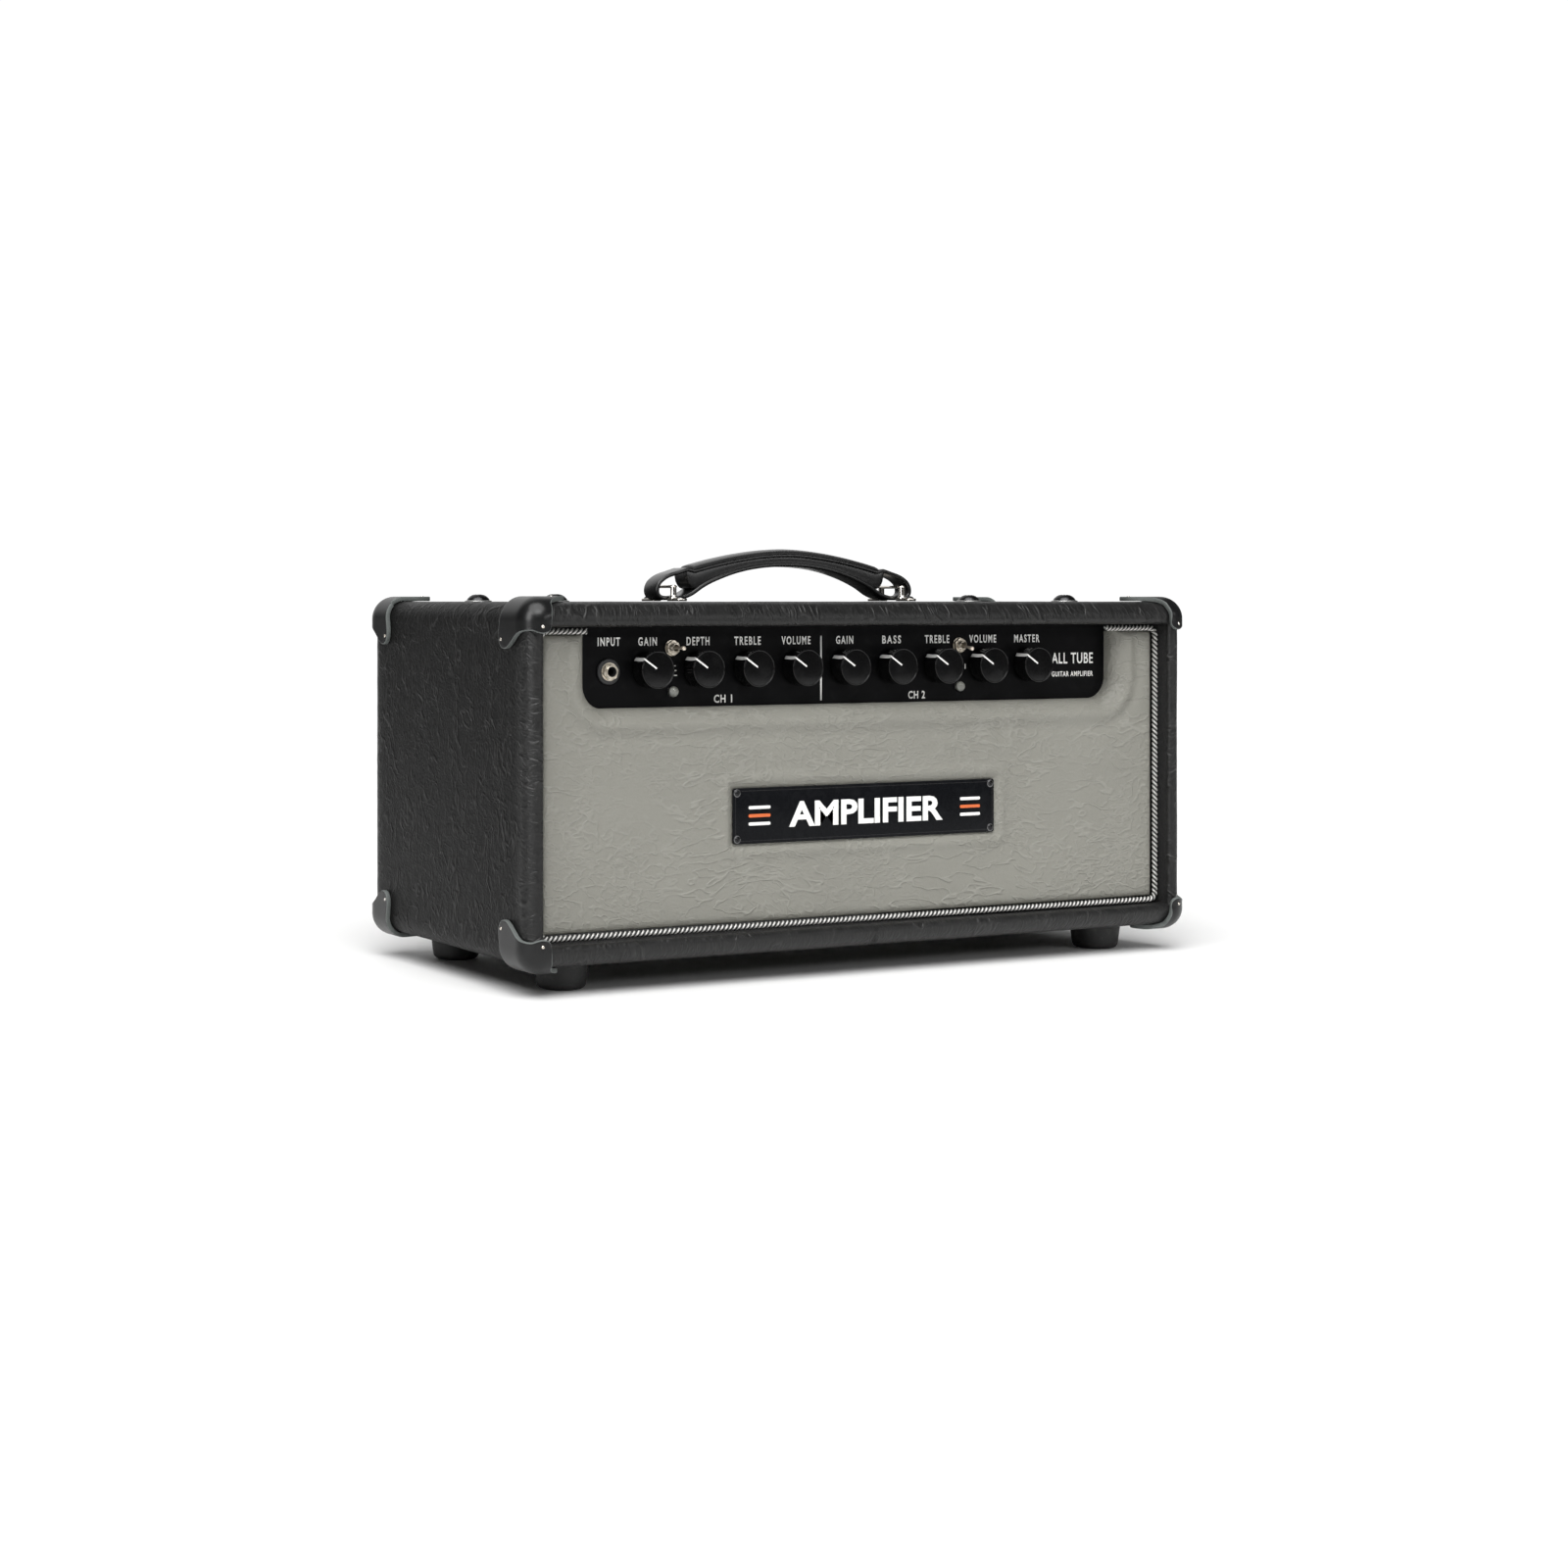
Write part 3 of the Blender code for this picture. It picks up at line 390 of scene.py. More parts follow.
def make_board():
    m = Mat("circuit_board", (0.02, 0.10, 0.045), 0.4)
    v = m.coords()
    trace = m.voronoi(v, 160.0)
    m.colour(m.mix(m.ramp(trace, 0.02, 0.05), (0.05, 0.19, 0.09), (0.016, 0.085, 0.038)))
    m.bump(m.ramp(trace, 0.02, 0.05), 0.00004, 0.5)
    return m.m


def make_floor():
    m = Mat("studio_floor", (0.86, 0.86, 0.855), 0.75)
    v = m.coords()
    m.colour(m.mix(m.ramp(m.noise(v, 3.0, 3.0), 0.3, 0.7), (0.87, 0.87, 0.865), (0.90, 0.90, 0.895)))
    m.bump(m.noise(v, 300.0, 2.0), 0.0001, 0.15)
    return m.m


M_VINYL = make_black_vinyl()
M_GREY = make_grey_vinyl()
M_LEATHER = make_leather("polished_leather", (0.0050, 0.0051, 0.0054), 0.40, 0.62, 0.05)
M_STRAP = make_leather("strap_leather", (0.008, 0.008, 0.0082), 0.27, 0.30)
M_EDGE = make_cut_edge()
M_NICKEL = make_metal("bright_nickel", (0.80, 0.77, 0.72), 0.13, tint=(0.70, 0.64, 0.56))
M_LEVER = make_metal("lever_nickel", (0.80, 0.72, 0.62), 0.34, tint=(0.72, 0.63, 0.52), metal=0.55)
M_WARM = make_metal("warm_nickel", (0.62, 0.565, 0.48), 0.30, tint=(0.48, 0.43, 0.35), metal=0.85)
M_STEEL = make_metal("plated_steel", (0.55, 0.55, 0.54), 0.34, (8.0, 900.0, 900.0))
M_DARK_STEEL = make_metal("blackened_steel", (0.045, 0.045, 0.047), 0.26)
M_OXIDE = make_metal("oxide_steel", (0.17, 0.17, 0.172), 0.30)
M_PANEL = make_plastic("panel_black", (0.0036, 0.0036, 0.0040), 0.30, 0.00001, 0.4, scale=3000.0, spec=0.07)
M_KNOB = make_plastic("knob_black", (0.0036, 0.0036, 0.0038), 0.10, 0.00001, 0.5, 0.0, spec=0.30)
M_PLASTIC = make_plastic("moulded_black", (0.014, 0.014, 0.015), 0.42, 0.00008)
M_PLATE = make_plastic("plate_black", (0.0040, 0.0044, 0.0056), 0.26, 0.00001, spec=0.10)
M_GRILLE = make_plastic("grille_black", (0.016, 0.016, 0.016), 0.45, 0.0001)
M_IRON = make_plastic("transformer_black", (0.018, 0.018, 0.020), 0.38, 0.0002)
M_LAMINATION = make_metal("lamination", (0.22, 0.22, 0.23), 0.45, (900.0, 5.0, 5.0))
M_RUBBER = make_rubber()
M_WHITE_CORD = make_cord("cord_white", (0.92, 0.91, 0.88), (0.70, 0.69, 0.66))
M_GROOVE_SHADE_CORD = make_cord("cord_groove_shade", (0.060, 0.060, 0.058), (0.025, 0.025, 0.025))
M_PRINT = make_print("print_white", (0.96, 0.955, 0.93))
M_PRINT_DIM = make_print("print_dim", (0.72, 0.72, 0.69))
M_ORANGE = make_print("print_orange", (0.80, 0.16, 0.035), 0.42)
M_STITCH = make_print("stitch_thread", (0.085, 0.085, 0.082), 0.6)
M_LENS = make_glass("lamp_lens", (0.90, 0.90, 0.88), 0.06)
M_LENS_BACK = make_metal("lamp_reflector", (0.34, 0.345, 0.32), 0.45, metal=0.4)
M_GLASS = make_glass("tube_glass", (0.93, 0.95, 0.95), 0.02)
M_TUBE_METAL = make_metal("tube_plate", (0.20, 0.20, 0.205), 0.42)
M_GETTER = make_metal("tube_getter", (0.62, 0.62, 0.63), 0.12)
M_BOARD = make_board()
# a flat black that stands in for shade: painted shade in bores, socket holes and the switch housing
M_PAINTED_SHADE = make_plastic("shadow_black", (0.004, 0.004, 0.004), 0.75, 0.00005)
M_FLOOR = make_floor()

# ---------------------------------------------------------------- mesh building


def smooth_line(points, steps=4, closed=False):
    """Catmull-Rom samples through the points."""
    pts = [np.array(p, float) for p in points]
    n = len(pts)
    out = []
    spans = n if closed else n - 1
    for i in range(spans):
        p1, p2 = pts[i], pts[(i + 1) % n]
        p0 = pts[i - 1] if (closed or i > 0) else 2 * p1 - p2
        p3 = pts[(i + 2) % n] if (closed or i + 2 < n) else 2 * p2 - p1
        for k in range(steps):
            t = k / steps
            out.append(0.5 * ((2 * p1) + (p2 - p0) * t + (2 * p0 - 5 * p1 + 4 * p2 - p3) * t * t
                              + (3 * p1 - p0 - 3 * p2 + p3) * t ** 3))
    if not closed:
        out.append(pts[-1])
    return out


def soft(points, radius, steps=3, closed=False):
    """The polyline with its corners rounded."""
    pts = [np.array(p, float) for p in points]
    n = len(pts)
    out = []
    for i, p in enumerate(pts):
        if not closed and i in (0, n - 1):
            out.append(p)
            continue
        a, b = pts[i - 1] - p, pts[(i + 1) % n] - p
        la, lb = np.linalg.norm(a), np.linalg.norm(b)
        r = min(radius, la * 0.45, lb * 0.45)
        s, e = p + a / la * r, p + b / lb * r
        for k in range(steps + 1):
            t = k / steps
            out.append((1 - t) ** 2 * s + 2 * t * (1 - t) * p + t * t * e)
    return out


def arc(cx, cy, radius, start, stop, steps):
    return [(cx + radius * math.cos(math.radians(start + (stop - start) * k / steps)),
             cy + radius * math.sin(math.radians(start + (stop - start) * k / steps)))
            for k in range(steps + 1)]


def rounded_rect(hx, hy, r, steps=4):
    ring = arc(hx - r, hy - r, r, 0, 90, steps)
    ring += arc(-hx + r, hy - r, r, 90, 180, steps)
    ring += arc(-hx + r, -hy + r, r, 180, 270, steps)
    return ring + arc(hx - r, -hy + r, r, 270, 360, steps)


def turned(point, axis):
    r1, h, r2 = point
    return {"Y": (r1, h, r2), "Z": (r1, r2, h), "X": (h, r1, r2)}[axis]


class Piece:
    """Collects closed shapes, in millimetres, into one object."""

    def __init__(self, name):
        self.name, self.bm, self.mats = name, bmesh.new(), []

    def index(self, mat):
        if mat not in self.mats:
            self.mats.append(mat)
        return self.mats.index(mat)

    def add(self, verts, faces, mat, matrix=None, at=(0, 0, 0)):
        mi = self.index(mat)
        made = []
        for v in verts:
            v = Vector([float(c) for c in v])
            if matrix is not None:
                v = matrix @ v
            made.append(self.bm.verts.new(v + Vector([float(c) for c in at])))
        fs = []
        for f in faces:
            try:
                face = self.bm.faces.new([made[i] for i in f])
            except ValueError:
                continue
            face.material_index = mi
            face.smooth = True
            fs.append(face)
        bmesh.ops.recalc_face_normals(self.bm, faces=fs)
        return made, fs

    def lathe(self, profile, n, mat, at=(0, 0, 0), axis="Y", ring=False, phase=0.0, matrix=None):
        verts, rows, faces = [], [], []
        for p in profile:
            r, h = float(p[0]), float(p[1])
            start = len(verts)
            if r < 1e-6:
                verts.append(turned((0.0, h, 0.0), axis))
                rows.append([start])
            else:
                for i in range(n):
                    t = phase + 2 * math.pi * i / n
                    verts.append(turned((r * math.cos(t), h, r * math.sin(t)), axis))
                rows.append(list(range(start, start + n)))
        pairs = list(zip(rows, rows[1:])) + ([(rows[-1], rows[0])] if ring else [])
        for a, b in pairs:
            if len(a) == 1 and len(b) == 1:
                continue
            for i in range(n):
                j = (i + 1) % n
                if len(a) == 1:
                    faces.append((a[0], b[i], b[j]))
                elif len(b) == 1:
                    faces.append((a[i], a[j], b[0]))
                else:
                    faces.append((a[i], a[j], b[j], b[i]))
        return self.add(verts, faces, mat, matrix, at)

    def loft(self, rings, mat, closed=False, matrix=None, at=(0, 0, 0), caps=True):
        n = len(rings[0])
        verts = [p for ring in rings for p in ring]
        faces = []
        pairs = [(k, k + 1) for k in range(len(rings) - 1)] + ([(len(rings) - 1, 0)] if closed else [])
        for a, b in pairs:
            for i in range(n):
                j = (i + 1) % n
                faces.append((a * n + i, a * n + j, b * n + j, b * n + i))
        if not closed and caps:
            faces.append(tuple(range(n)))
            faces.append(tuple(range((len(rings) - 1) * n, len(rings) * n)))
        return self.add(verts, faces, mat, matrix, at)

    def slab(self, outline, h0, h1, mat, axis="Y", r=0.4, matrix=None, at=(0, 0, 0), steps=2):
        """An outline extruded along axis from h0 to h1, its rims rounded by r. The outline runs
        round a convex-ish shape, so the rim moves in towards the outline's own inside."""
        pts = [np.array(p, float) for p in outline]
        n = len(pts)
        area = sum(pts[i][0] * pts[(i + 1) % n][1] - pts[(i + 1) % n][0] * pts[i][1] for i in range(n))
        sign = 1.0 if area > 0 else -1.0
        normals = []
        for i in range(n):
            d = pts[(i + 1) % n] - pts[i - 1]
            d = d / max(np.linalg.norm(d), 1e-9)
            normals.append(np.array((-d[1], d[0])) * sign)
        lo, hi = min(h0, h1), max(h0, h1)
        levels = []
        for k in range(steps + 1):
            t = math.pi / 2 * k / steps
            levels.append((lo + r * (1 - math.sin(t)), r * (1 - math.cos(t))))
        levels = levels[::-1] + [(hi - (h - lo), inset) for h, inset in levels]
        levels.sort(key=lambda q: q[0])
        rings = []
        for h, inset in levels:
            rings.append([turned((pts[i][0] + normals[i][0] * inset, h, pts[i][1] + normals[i][1] * inset), axis)
                          for i in range(n)])
        return self.loft(rings, mat, matrix=matrix, at=at)

    def block(self, lo, hi, mat, r=0.6, steps=3, matrix=None, at=(0, 0, 0)):
        """A rounded box, from a cube whose corners are pulled onto spheres."""
        lo, hi = np.array(lo, float), np.array(hi, float)
        r = min(r, float((hi - lo).min()) / 2 - 1e-3)
        c, h = (lo + hi) / 2, (hi - lo) / 2 - r
        n = 2 * steps + 1
        u = [-math.tan(math.pi / 4 * (1 - k / steps)) if k <= steps else math.tan(math.pi / 4 * (k - steps - 1) / steps)
             for k in range(n + 1)]
        side = [-1.0 if k <= steps else 1.0 for k in range(n + 1)]
        verts, index, faces = [], {}, []

        def vert(cell):
            key = tuple(cell)
            if key not in index:
                d = np.array([u[k] for k in cell])
                s = np.array([side[k] for k in cell])
                d = d / np.linalg.norm(d)
                index[key] = len(verts)
                verts.append(tuple(c + s * h + d * r))
            return index[key]

        for a in range(3):
            b, e = (a + 1) % 3, (a + 2) % 3
            for end in (0, n):
                for i in range(n):
                    for j in range(n):
                        quad = []
                        for di, dj in ((0, 0), (1, 0), (1, 1), (0, 1)):
                            cell = [0, 0, 0]
                            cell[a], cell[b], cell[e] = end, i + di, j + dj
                            quad.append(vert(cell))
                        faces.append(tuple(quad if end else quad[::-1]))
        return self.add(verts, faces, mat, matrix, at)

    def tube(self, path, radius, n, mat, caps=True, phase=0.0, squash=1.0):
        pts = [np.array(p, float) for p in path]
        rings, up = [], None
        for i, p in enumerate(pts):
            d = pts[min(i + 1, len(pts) - 1)] - pts[max(i - 1, 0)]
            d = d / np.linalg.norm(d)
            if up is None:
                up = np.cross(d, (0.0, 0.0, 1.0) if abs(d[2]) < 0.9 else (1.0, 0.0, 0.0))
            up = up - d * np.dot(up, d)
            up = up / np.linalg.norm(up)
            side = np.cross(d, up)
            rad = radius(i / (len(pts) - 1)) if callable(radius) else radius
            rings.append([tuple(p + (up * math.cos(phase + 2 * math.pi * k / n)
                                     + side * math.sin(phase + 2 * math.pi * k / n) * squash) * rad) for k in range(n)])
        return self.loft(rings, mat, caps=caps)

    def text(self, string, cap, centre, y, mat, squeeze=0.62, bold=0.02, depth=0.12, facing=-1, width=None, spacing=1.0):
        """Flat letters that face -Y (facing -1) or +Y, with this cap height, centred on (x, z)."""
        curve = bpy.data.curves.new("lettering", "FONT")
        curve.body, curve.size, curve.offset, curve.resolution_u = string, 1.0, bold, 3
        curve.fill_mode = "BOTH"
        curve.extrude = 0.05
        curve.space_character = spacing
        obj = bpy.data.objects.new("lettering", curve)
        SC.collection.objects.link(obj)
        bpy.context.view_layer.update()
        mesh = bpy.data.meshes.new_from_object(obj.evaluated_get(bpy.context.evaluated_depsgraph_get()))
        bpy.data.objects.remove(obj)
        co = np.array([v.co for v in mesh.vertices], float)
        lo, hi = co.min(0), co.max(0)
        k = cap / (hi[1] - lo[1])
        x = (co[:, 0] - (lo[0] + hi[0]) / 2) * k * squeeze
        if width is not None:
            x = x * (width / (x.max() - x.min()))
        z = (co[:, 1] - (lo[1] + hi[1]) / 2) * k
        h = (co[:, 2] - lo[2]) / (hi[2] - lo[2]) * depth
        verts = np.stack([-facing * x + centre[0], y + facing * h, z + centre[1]], 1)
        out = self.add(verts, [tuple(p.vertices) for p in mesh.polygons], mat)
        bpy.data.meshes.remove(mesh)
        for f in out[1]:
            f.smooth = False
        return out

    def screw(self, at, normal, radius, mat, height=None, slot=True):
        """A pan head with a cross recess. at: the middle of its seat; normal: the way it faces."""
        height = height or radius * 0.55
        turn = Vector((0, 0, 1)).rotation_difference(Vector(normal)).to_matrix().to_4x4()
        head = [(0, height * 0.62), (radius * 0.18, height * 0.60)]
        arms, n = 4, 48
        verts, rows = [], []
        radii = [0.0, 0.20, 0.46, 0.52, 0.72, 0.88, 0.97, 1.0]
        for k, q in enumerate(radii):
            row = []
            if q == 0.0:
                row.append(len(verts))
                verts.append((0, 0, height * 0.45))
            else:
                for i in range(n):
                    a = 2 * math.pi * i / n
                    x, y = q * math.cos(a), q * math.sin(a)
                    dome = height * (1 - 0.85 * q ** 3.2)
                    if slot and min(abs(x), abs(y)) < 0.095 and q < 0.50:
                        dome = height * 0.45
                    row.append(len(verts))
                    verts.append((x * radius, y * radius, dome if q < 1 else 0.0))
            rows.append(row)
        faces = []
        for a, b in zip(rows, rows[1:]):
            for i in range(n):
                j = (i + 1) % n
                faces.append((a[0], b[i], b[j]) if len(a) == 1 else (a[i], b[i], b[j], a[j]))
        faces.append(tuple(rows[-1][::-1]))
        return self.add(verts, faces, mat, turn, at)

    def done(self, body="cabinet", slot=None, replaces=(), sharp=38, sub=0):
        self.bm.verts.ensure_lookup_table()
        mesh = bpy.data.meshes.new(self.name)
        self.bm.transform(Matrix.Scale(MM, 4))
        self.bm.to_mesh(mesh)
        self.bm.free()
        for mat in self.mats:
            mesh.materials.append(mat)
        if sharp is not None:
            mesh.set_sharp_from_angle(angle=math.radians(sharp))
        obj = bpy.data.objects.new(self.name, mesh)
        SC.collection.objects.link(obj)
        if replaces:
            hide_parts(*replaces)
        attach(obj, body)
        return obj


def smoothstep(t):
    t = max(0.0, min(1.0, t))
    return t * t * (3 - 2 * t)


def fbm(x, y, z, octaves=3):
    return noise.fractal(Vector((x, y, z)), 1.0, 2.0, octaves)

# ---------------------------------------------------------------- cabinet covering


def nose(wall):
    """Front edge of one board: (inset from the outer face, depth behind the front plane)."""
    c = (EDGE_R + NOSE_R - wall) / (EDGE_R - NOSE_R)
    phi = math.acos(max(-1.0, min(1.0, c)))
    out = []
    for k in range(15):
        a = phi * k / 14
        out.append((EDGE_R * (1 - math.cos(a)), EDGE_R * (1 - math.sin(a))))
    cx = wall - NOSE_R
    cy = EDGE_R * (1 - math.sin(phi)) + NOSE_R * math.sin(phi)
    for k in range(1, 13):
        a = phi + (math.pi - phi) * k / 12
        out.append((cx - NOSE_R * math.cos(a), cy - NOSE_R * math.sin(a)))
    return out


def make_cabinet():
    depth = REAR - FRONT
    noses = {k: nose(w) for k, w in WALLS.items()}
    spans = 60
    profile = {}
    for key, pts in noses.items():
        line = [(a, d) for a, d in pts[::-1]]                       # inner wall to outer face
        line += [(0.0, EDGE_R + (depth - 2 * EDGE_R) * k / spans) for k in range(1, spans)]
        line += [(a, depth - d) for a, d in pts]
        inner0, inner1 = line[-1][1], line[0][1]
        line += [(WALLS[key], inner0 + (inner1 - inner0) * k / 12) for k in range(1, 12)]
        profile[key] = line
    count = len(profile["side"])
    nose_n = len(noses["side"])
    mx, mz, corner_n = 130, 54, 7

    # ring positions: bottom middle, anticlockwise seen from the front
    order = []
    for k in range(mx // 2):
        order.append(("bottom", 1, k / (mx // 2)))
    order += [("corner_rb", 0, k / corner_n) for k in range(corner_n + 1)]
    order += [("side_r", 0, k / mz) for k in range(1, mz)]
    order += [("corner_rt", 0, k / corner_n) for k in range(corner_n + 1)]
    order += [("top", 0, k / mx) for k in range(1, mx)]
    order += [("corner_lt", 0, k / corner_n) for k in range(corner_n + 1)]
    order += [("side_l", 0, k / mz) for k in range(1, mz)]
    order += [("corner_lb", 0, k / corner_n) for k in range(corner_n + 1)]
    order += [("bottom", -1, k / (mx // 2)) for k in range(1, mx // 2)]

    rings = []
    for j in range(count):
        a_s, d_s = profile["side"][j]
        a_t, d_t = profile["top"][j]
        a_b, d_b = profile["bottom"][j]
        xs, zt, zb = HX - a_s, TOP - a_t, Z0 + a_b
        rt = max(EDGE_R - 0.5 * (a_s + a_t), 0.9)
        rb = max(EDGE_R - 0.5 * (a_s + a_b), 0.9)
        ring = []
        for kind, sign, t in order:
            if kind == "bottom":
                x = (xs - rb) * t if sign > 0 else -(xs - rb) * (1 - t)
                ring.append((x, FRONT + d_b, zb))
            elif kind == "top":
                ring.append(((xs - rt) * (1 - 2 * t), FRONT + d_t, zt))
            elif kind == "side_r":
                ring.append((xs, FRONT + d_s, zb + rb + (zt - rt - zb - rb) * t))
            elif kind == "side_l":
                ring.append((-xs, FRONT + d_s, zt - rt + (zb + rb - zt + rt) * t))
            else:
                a = math.radians(90 * t)
                top = kind.endswith("t")
                r, right = (rt if top else rb), kind.startswith("corner_r")
                near_side = (1 - t) if kind in ("corner_rt", "corner_lb") else t
                d_o = d_t if top else d_b
                y = FRONT + d_s * near_side + d_o * (1 - near_side)
                c = {"corner_rb": (math.sin(a), -math.cos(a)), "corner_rt": (math.cos(a), math.sin(a)),
                     "corner_lt": (-math.sin(a), math.cos(a)), "corner_lb": (-math.cos(a), -math.sin(a))}[kind]
                cx = (xs - r) * (1 if right else -1)
                cz = (zt - r) if top else (zb + r)
                ring.append((cx + r * c[0], y, cz + r * c[1]))
        rings.append(ring)

    p = Piece("cabinet_cover")
    layer = p.bm.verts.layers.float_vector.new("flow")
    verts, faces = p.loft(rings, M_VINYL, closed=True)
    n = len(order)
    outer = [rings[len(noses["side"]) + spans // 2][i] for i in range(n)]
    s_at, total = [], 0.0
    for i in range(n):
        s_at.append(total)
        total += math.dist(outer[i], outer[(i + 1) % n])
    t_at, total = [], 0.0
    side = profile["side"]
    for j in range(count):
        t_at.append(total)
        total += math.dist(side[j], side[(j + 1) % count])
    p.bm.normal_update()
    moves = []
    for j in range(count):
        outside = j < nose_n * 2 + spans
        lip = 1.0 if (j < nose_n or j >= nose_n + spans) else 0.0
        if nose_n - 5 <= j < nose_n + 4:
            lip = 1 - smoothstep((j - (nose_n - 5)) / 8)
        if nose_n + spans - 5 <= j < nose_n + spans + 4:
            lip = smoothstep((j - (nose_n + spans - 5)) / 8)
        for i in range(n):
            v = verts[j * n + i]
            v[layer] = (s_at[i] * MM, t_at[j] * MM, lip)
            if outside:
                x, y, z = v.co
                big = fbm(x / 70, y / 70, z / 70, 2) * 0.22
                fold = fbm(s_at[i] / 34, y / 9 + 7, z / 60, 2) * 0.10 if lip < 0.5 else fbm(s_at[i] / 9, y / 26, 3.0, 2) * 0.13
                moves.append((v, v.normal * (big + fold - 0.12)))
    for v, move in moves:
        v.co += move
    return p.done(slot="black_vinyl", replaces=("cabinet_shell",), sharp=60)


make_cabinet()

# ---------------------------------------------------------------- padded baffle


def baffle_fields(x, z):
    """(distance to the outer rectangle, its gradient, distance to the notch, its gradient)."""
    hx = float(BAFFLE_HI[0])
    lo, hi = float(BAFFLE_LO[2]), float(BAFFLE_HI[2])
    cands = [(hx - x, (-1, 0)), (hx + x, (1, 0)), (z - lo, (0, 1)), (hi - z, (0, -1))]
    d_rect, g_rect = min(cands, key=lambda c: c[0])
    sx = 1.0 if x >= 0 else -1.0
    u, v = abs(x) - (NOTCH_X - NOTCH_R), (NOTCH_Z + NOTCH_R) - z
    if u > 0 and v > 0:
        r = math.hypot(u, v)
        return d_rect, g_rect, r - NOTCH_R, (sx * u / r, -v / r)
    if u > v:
        return d_rect, g_rect, u - NOTCH_R, (sx, 0)
    return d_rect, g_rect, v - NOTCH_R, (0, -1)


def make_baffle():
    front, back = float(BAFFLE_LO[1]), float(BAFFLE_HI[1])
    hx = float(BAFFLE_HI[0])
    lo, hi = float(BAFFLE_LO[2]), float(BAFFLE_HI[2])
    cell = 2.0
    nx, nz = int(round(2 * hx / cell)), int(round((hi - lo) / cell))
    xs = np.linspace(-hx, hx, nx + 1)
    zs = np.linspace(lo, hi, nz + 1)
    pw, ph = float(PLATE_HI[0]) + 0.5, float(PLATE_HI[2] - PLATE_LO[2]) / 2 + 0.5
    pz = float(PLATE_LO[2] + PLATE_HI[2]) / 2
    g = np.zeros((nx + 1, nz + 1))
    for i, x in enumerate(xs):
        for k, z in enumerate(zs):
            g[i, k] = baffle_fields(x, z)[2]
    g[np.abs(g) < 0.02] = 0.02

    def place(x, z):
        d_rect, g_rect, d_notch, g_notch = baffle_fields(x, z)
        depth = 0.0
        px, pz2 = x, z
        if d_notch < NOTCH_ROLL:
            phi = math.pi / 2 * max(d_notch, 0.0) / NOTCH_ROLL
            depth = max(depth, NOTCH_ROLL * (1 - math.sin(phi)))
            move = NOTCH_ROLL * (1 - math.cos(phi)) - max(d_notch, 0.0)
            px += g_notch[0] * move
            pz2 += g_notch[1] * move
        soft_r = 5.0
        if d_rect < soft_r:
            phi = math.pi / 2 * max(d_rect, 0.0) / soft_r
            depth = max(depth, 3.4 * (1 - math.sin(phi)))
            move = (soft_r * (1 - math.cos(phi)) - max(d_rect, 0.0)) * 0.55
            px += g_rect[0] * move
            pz2 += g_rect[1] * move
        u, v = abs(x) - pw, abs(z - pz) - ph
        d_plate = math.hypot(max(u, 0), max(v, 0)) + min(max(u, v), 0)
        sink = 2.6 if d_plate <= 0 else 1.9 * math.exp(-(d_plate / 2.6) ** 2)
        pillow = 1.35 * math.exp(-((d_plate - 6.5) / 4.2) ** 2) if d_plate > 0 else 0.0
        bead = 2.1 * math.exp(-((d_notch - 13.0) / 5.0) ** 2) - 0.8 * math.exp(-((d_notch - 22.5) / 4.4) ** 2)
        bead *= smoothstep(d_rect / 12.0)
        puff = fbm(x / 85, 0.3, z / 70, 2) * 0.60 + fbm(x / 26 + 9, 4.0, z / 20, 3) * 0.26
        edge = smoothstep(min(d_rect, d_notch) / 14)
        y = front + depth + sink - edge * pillow - bead + edge * (0.25 - puff if d_plate > 0 else 0)
        return (px, max(y, front - 2.4), pz2)

    verts, index, faces = [], {}, []

    def vert(x, z):
        key = (round(x, 4), round(z, 4))
        if key not in index:
            index[key] = len(verts)
            verts.append(place(x, z))
        return index[key]

    for i in range(nx):
        for k in range(nz):
            corners = [(xs[i], zs[k], g[i, k]), (xs[i + 1], zs[k], g[i + 1, k]),
                       (xs[i + 1], zs[k + 1], g[i + 1, k + 1]), (xs[i], zs[k + 1], g[i, k + 1])]
            if max(c[2] for c in corners) <= 0:
                continue
            poly = []
            for a, b in zip(corners, corners[1:] + corners[:1]):
                if a[2] > 0:
                    poly.append(vert(a[0], a[1]))
                if (a[2] > 0) != (b[2] > 0):
                    t = a[2] / (a[2] - b[2])
                    poly.append(vert(a[0] + (b[0] - a[0]) * t, a[1] + (b[1] - a[1]) * t))
            poly = [q for n_, q in enumerate(poly) if q != poly[n_ - 1]]
            if len(poly) >= 3:
                faces.append(tuple(poly))
    p = Piece("baffle_cover")
    p.add(verts, faces, M_GREY)
    bm = p.bm
    rim = [e for e in bm.edges if e.is_boundary]
    out = bmesh.ops.extrude_edge_only(bm, edges=rim)
    new_verts = [e for e in out["geom"] if isinstance(e, bmesh.types.BMVert)]
    for v in new_verts:
        v.co.y = back
    edges = [e for e in bm.edges if e.is_boundary]
    bmesh.ops.edgeloop_fill(bm, edges=edges)
    for f in bm.faces:
        f.smooth = True
    bmesh.ops.recalc_face_normals(bm, faces=bm.faces[:])
    return p.done(slot="grey_vinyl", replaces=("front_baffle",), sharp=50)


make_baffle()

# ---------------------------------------------------------------- twisted piping


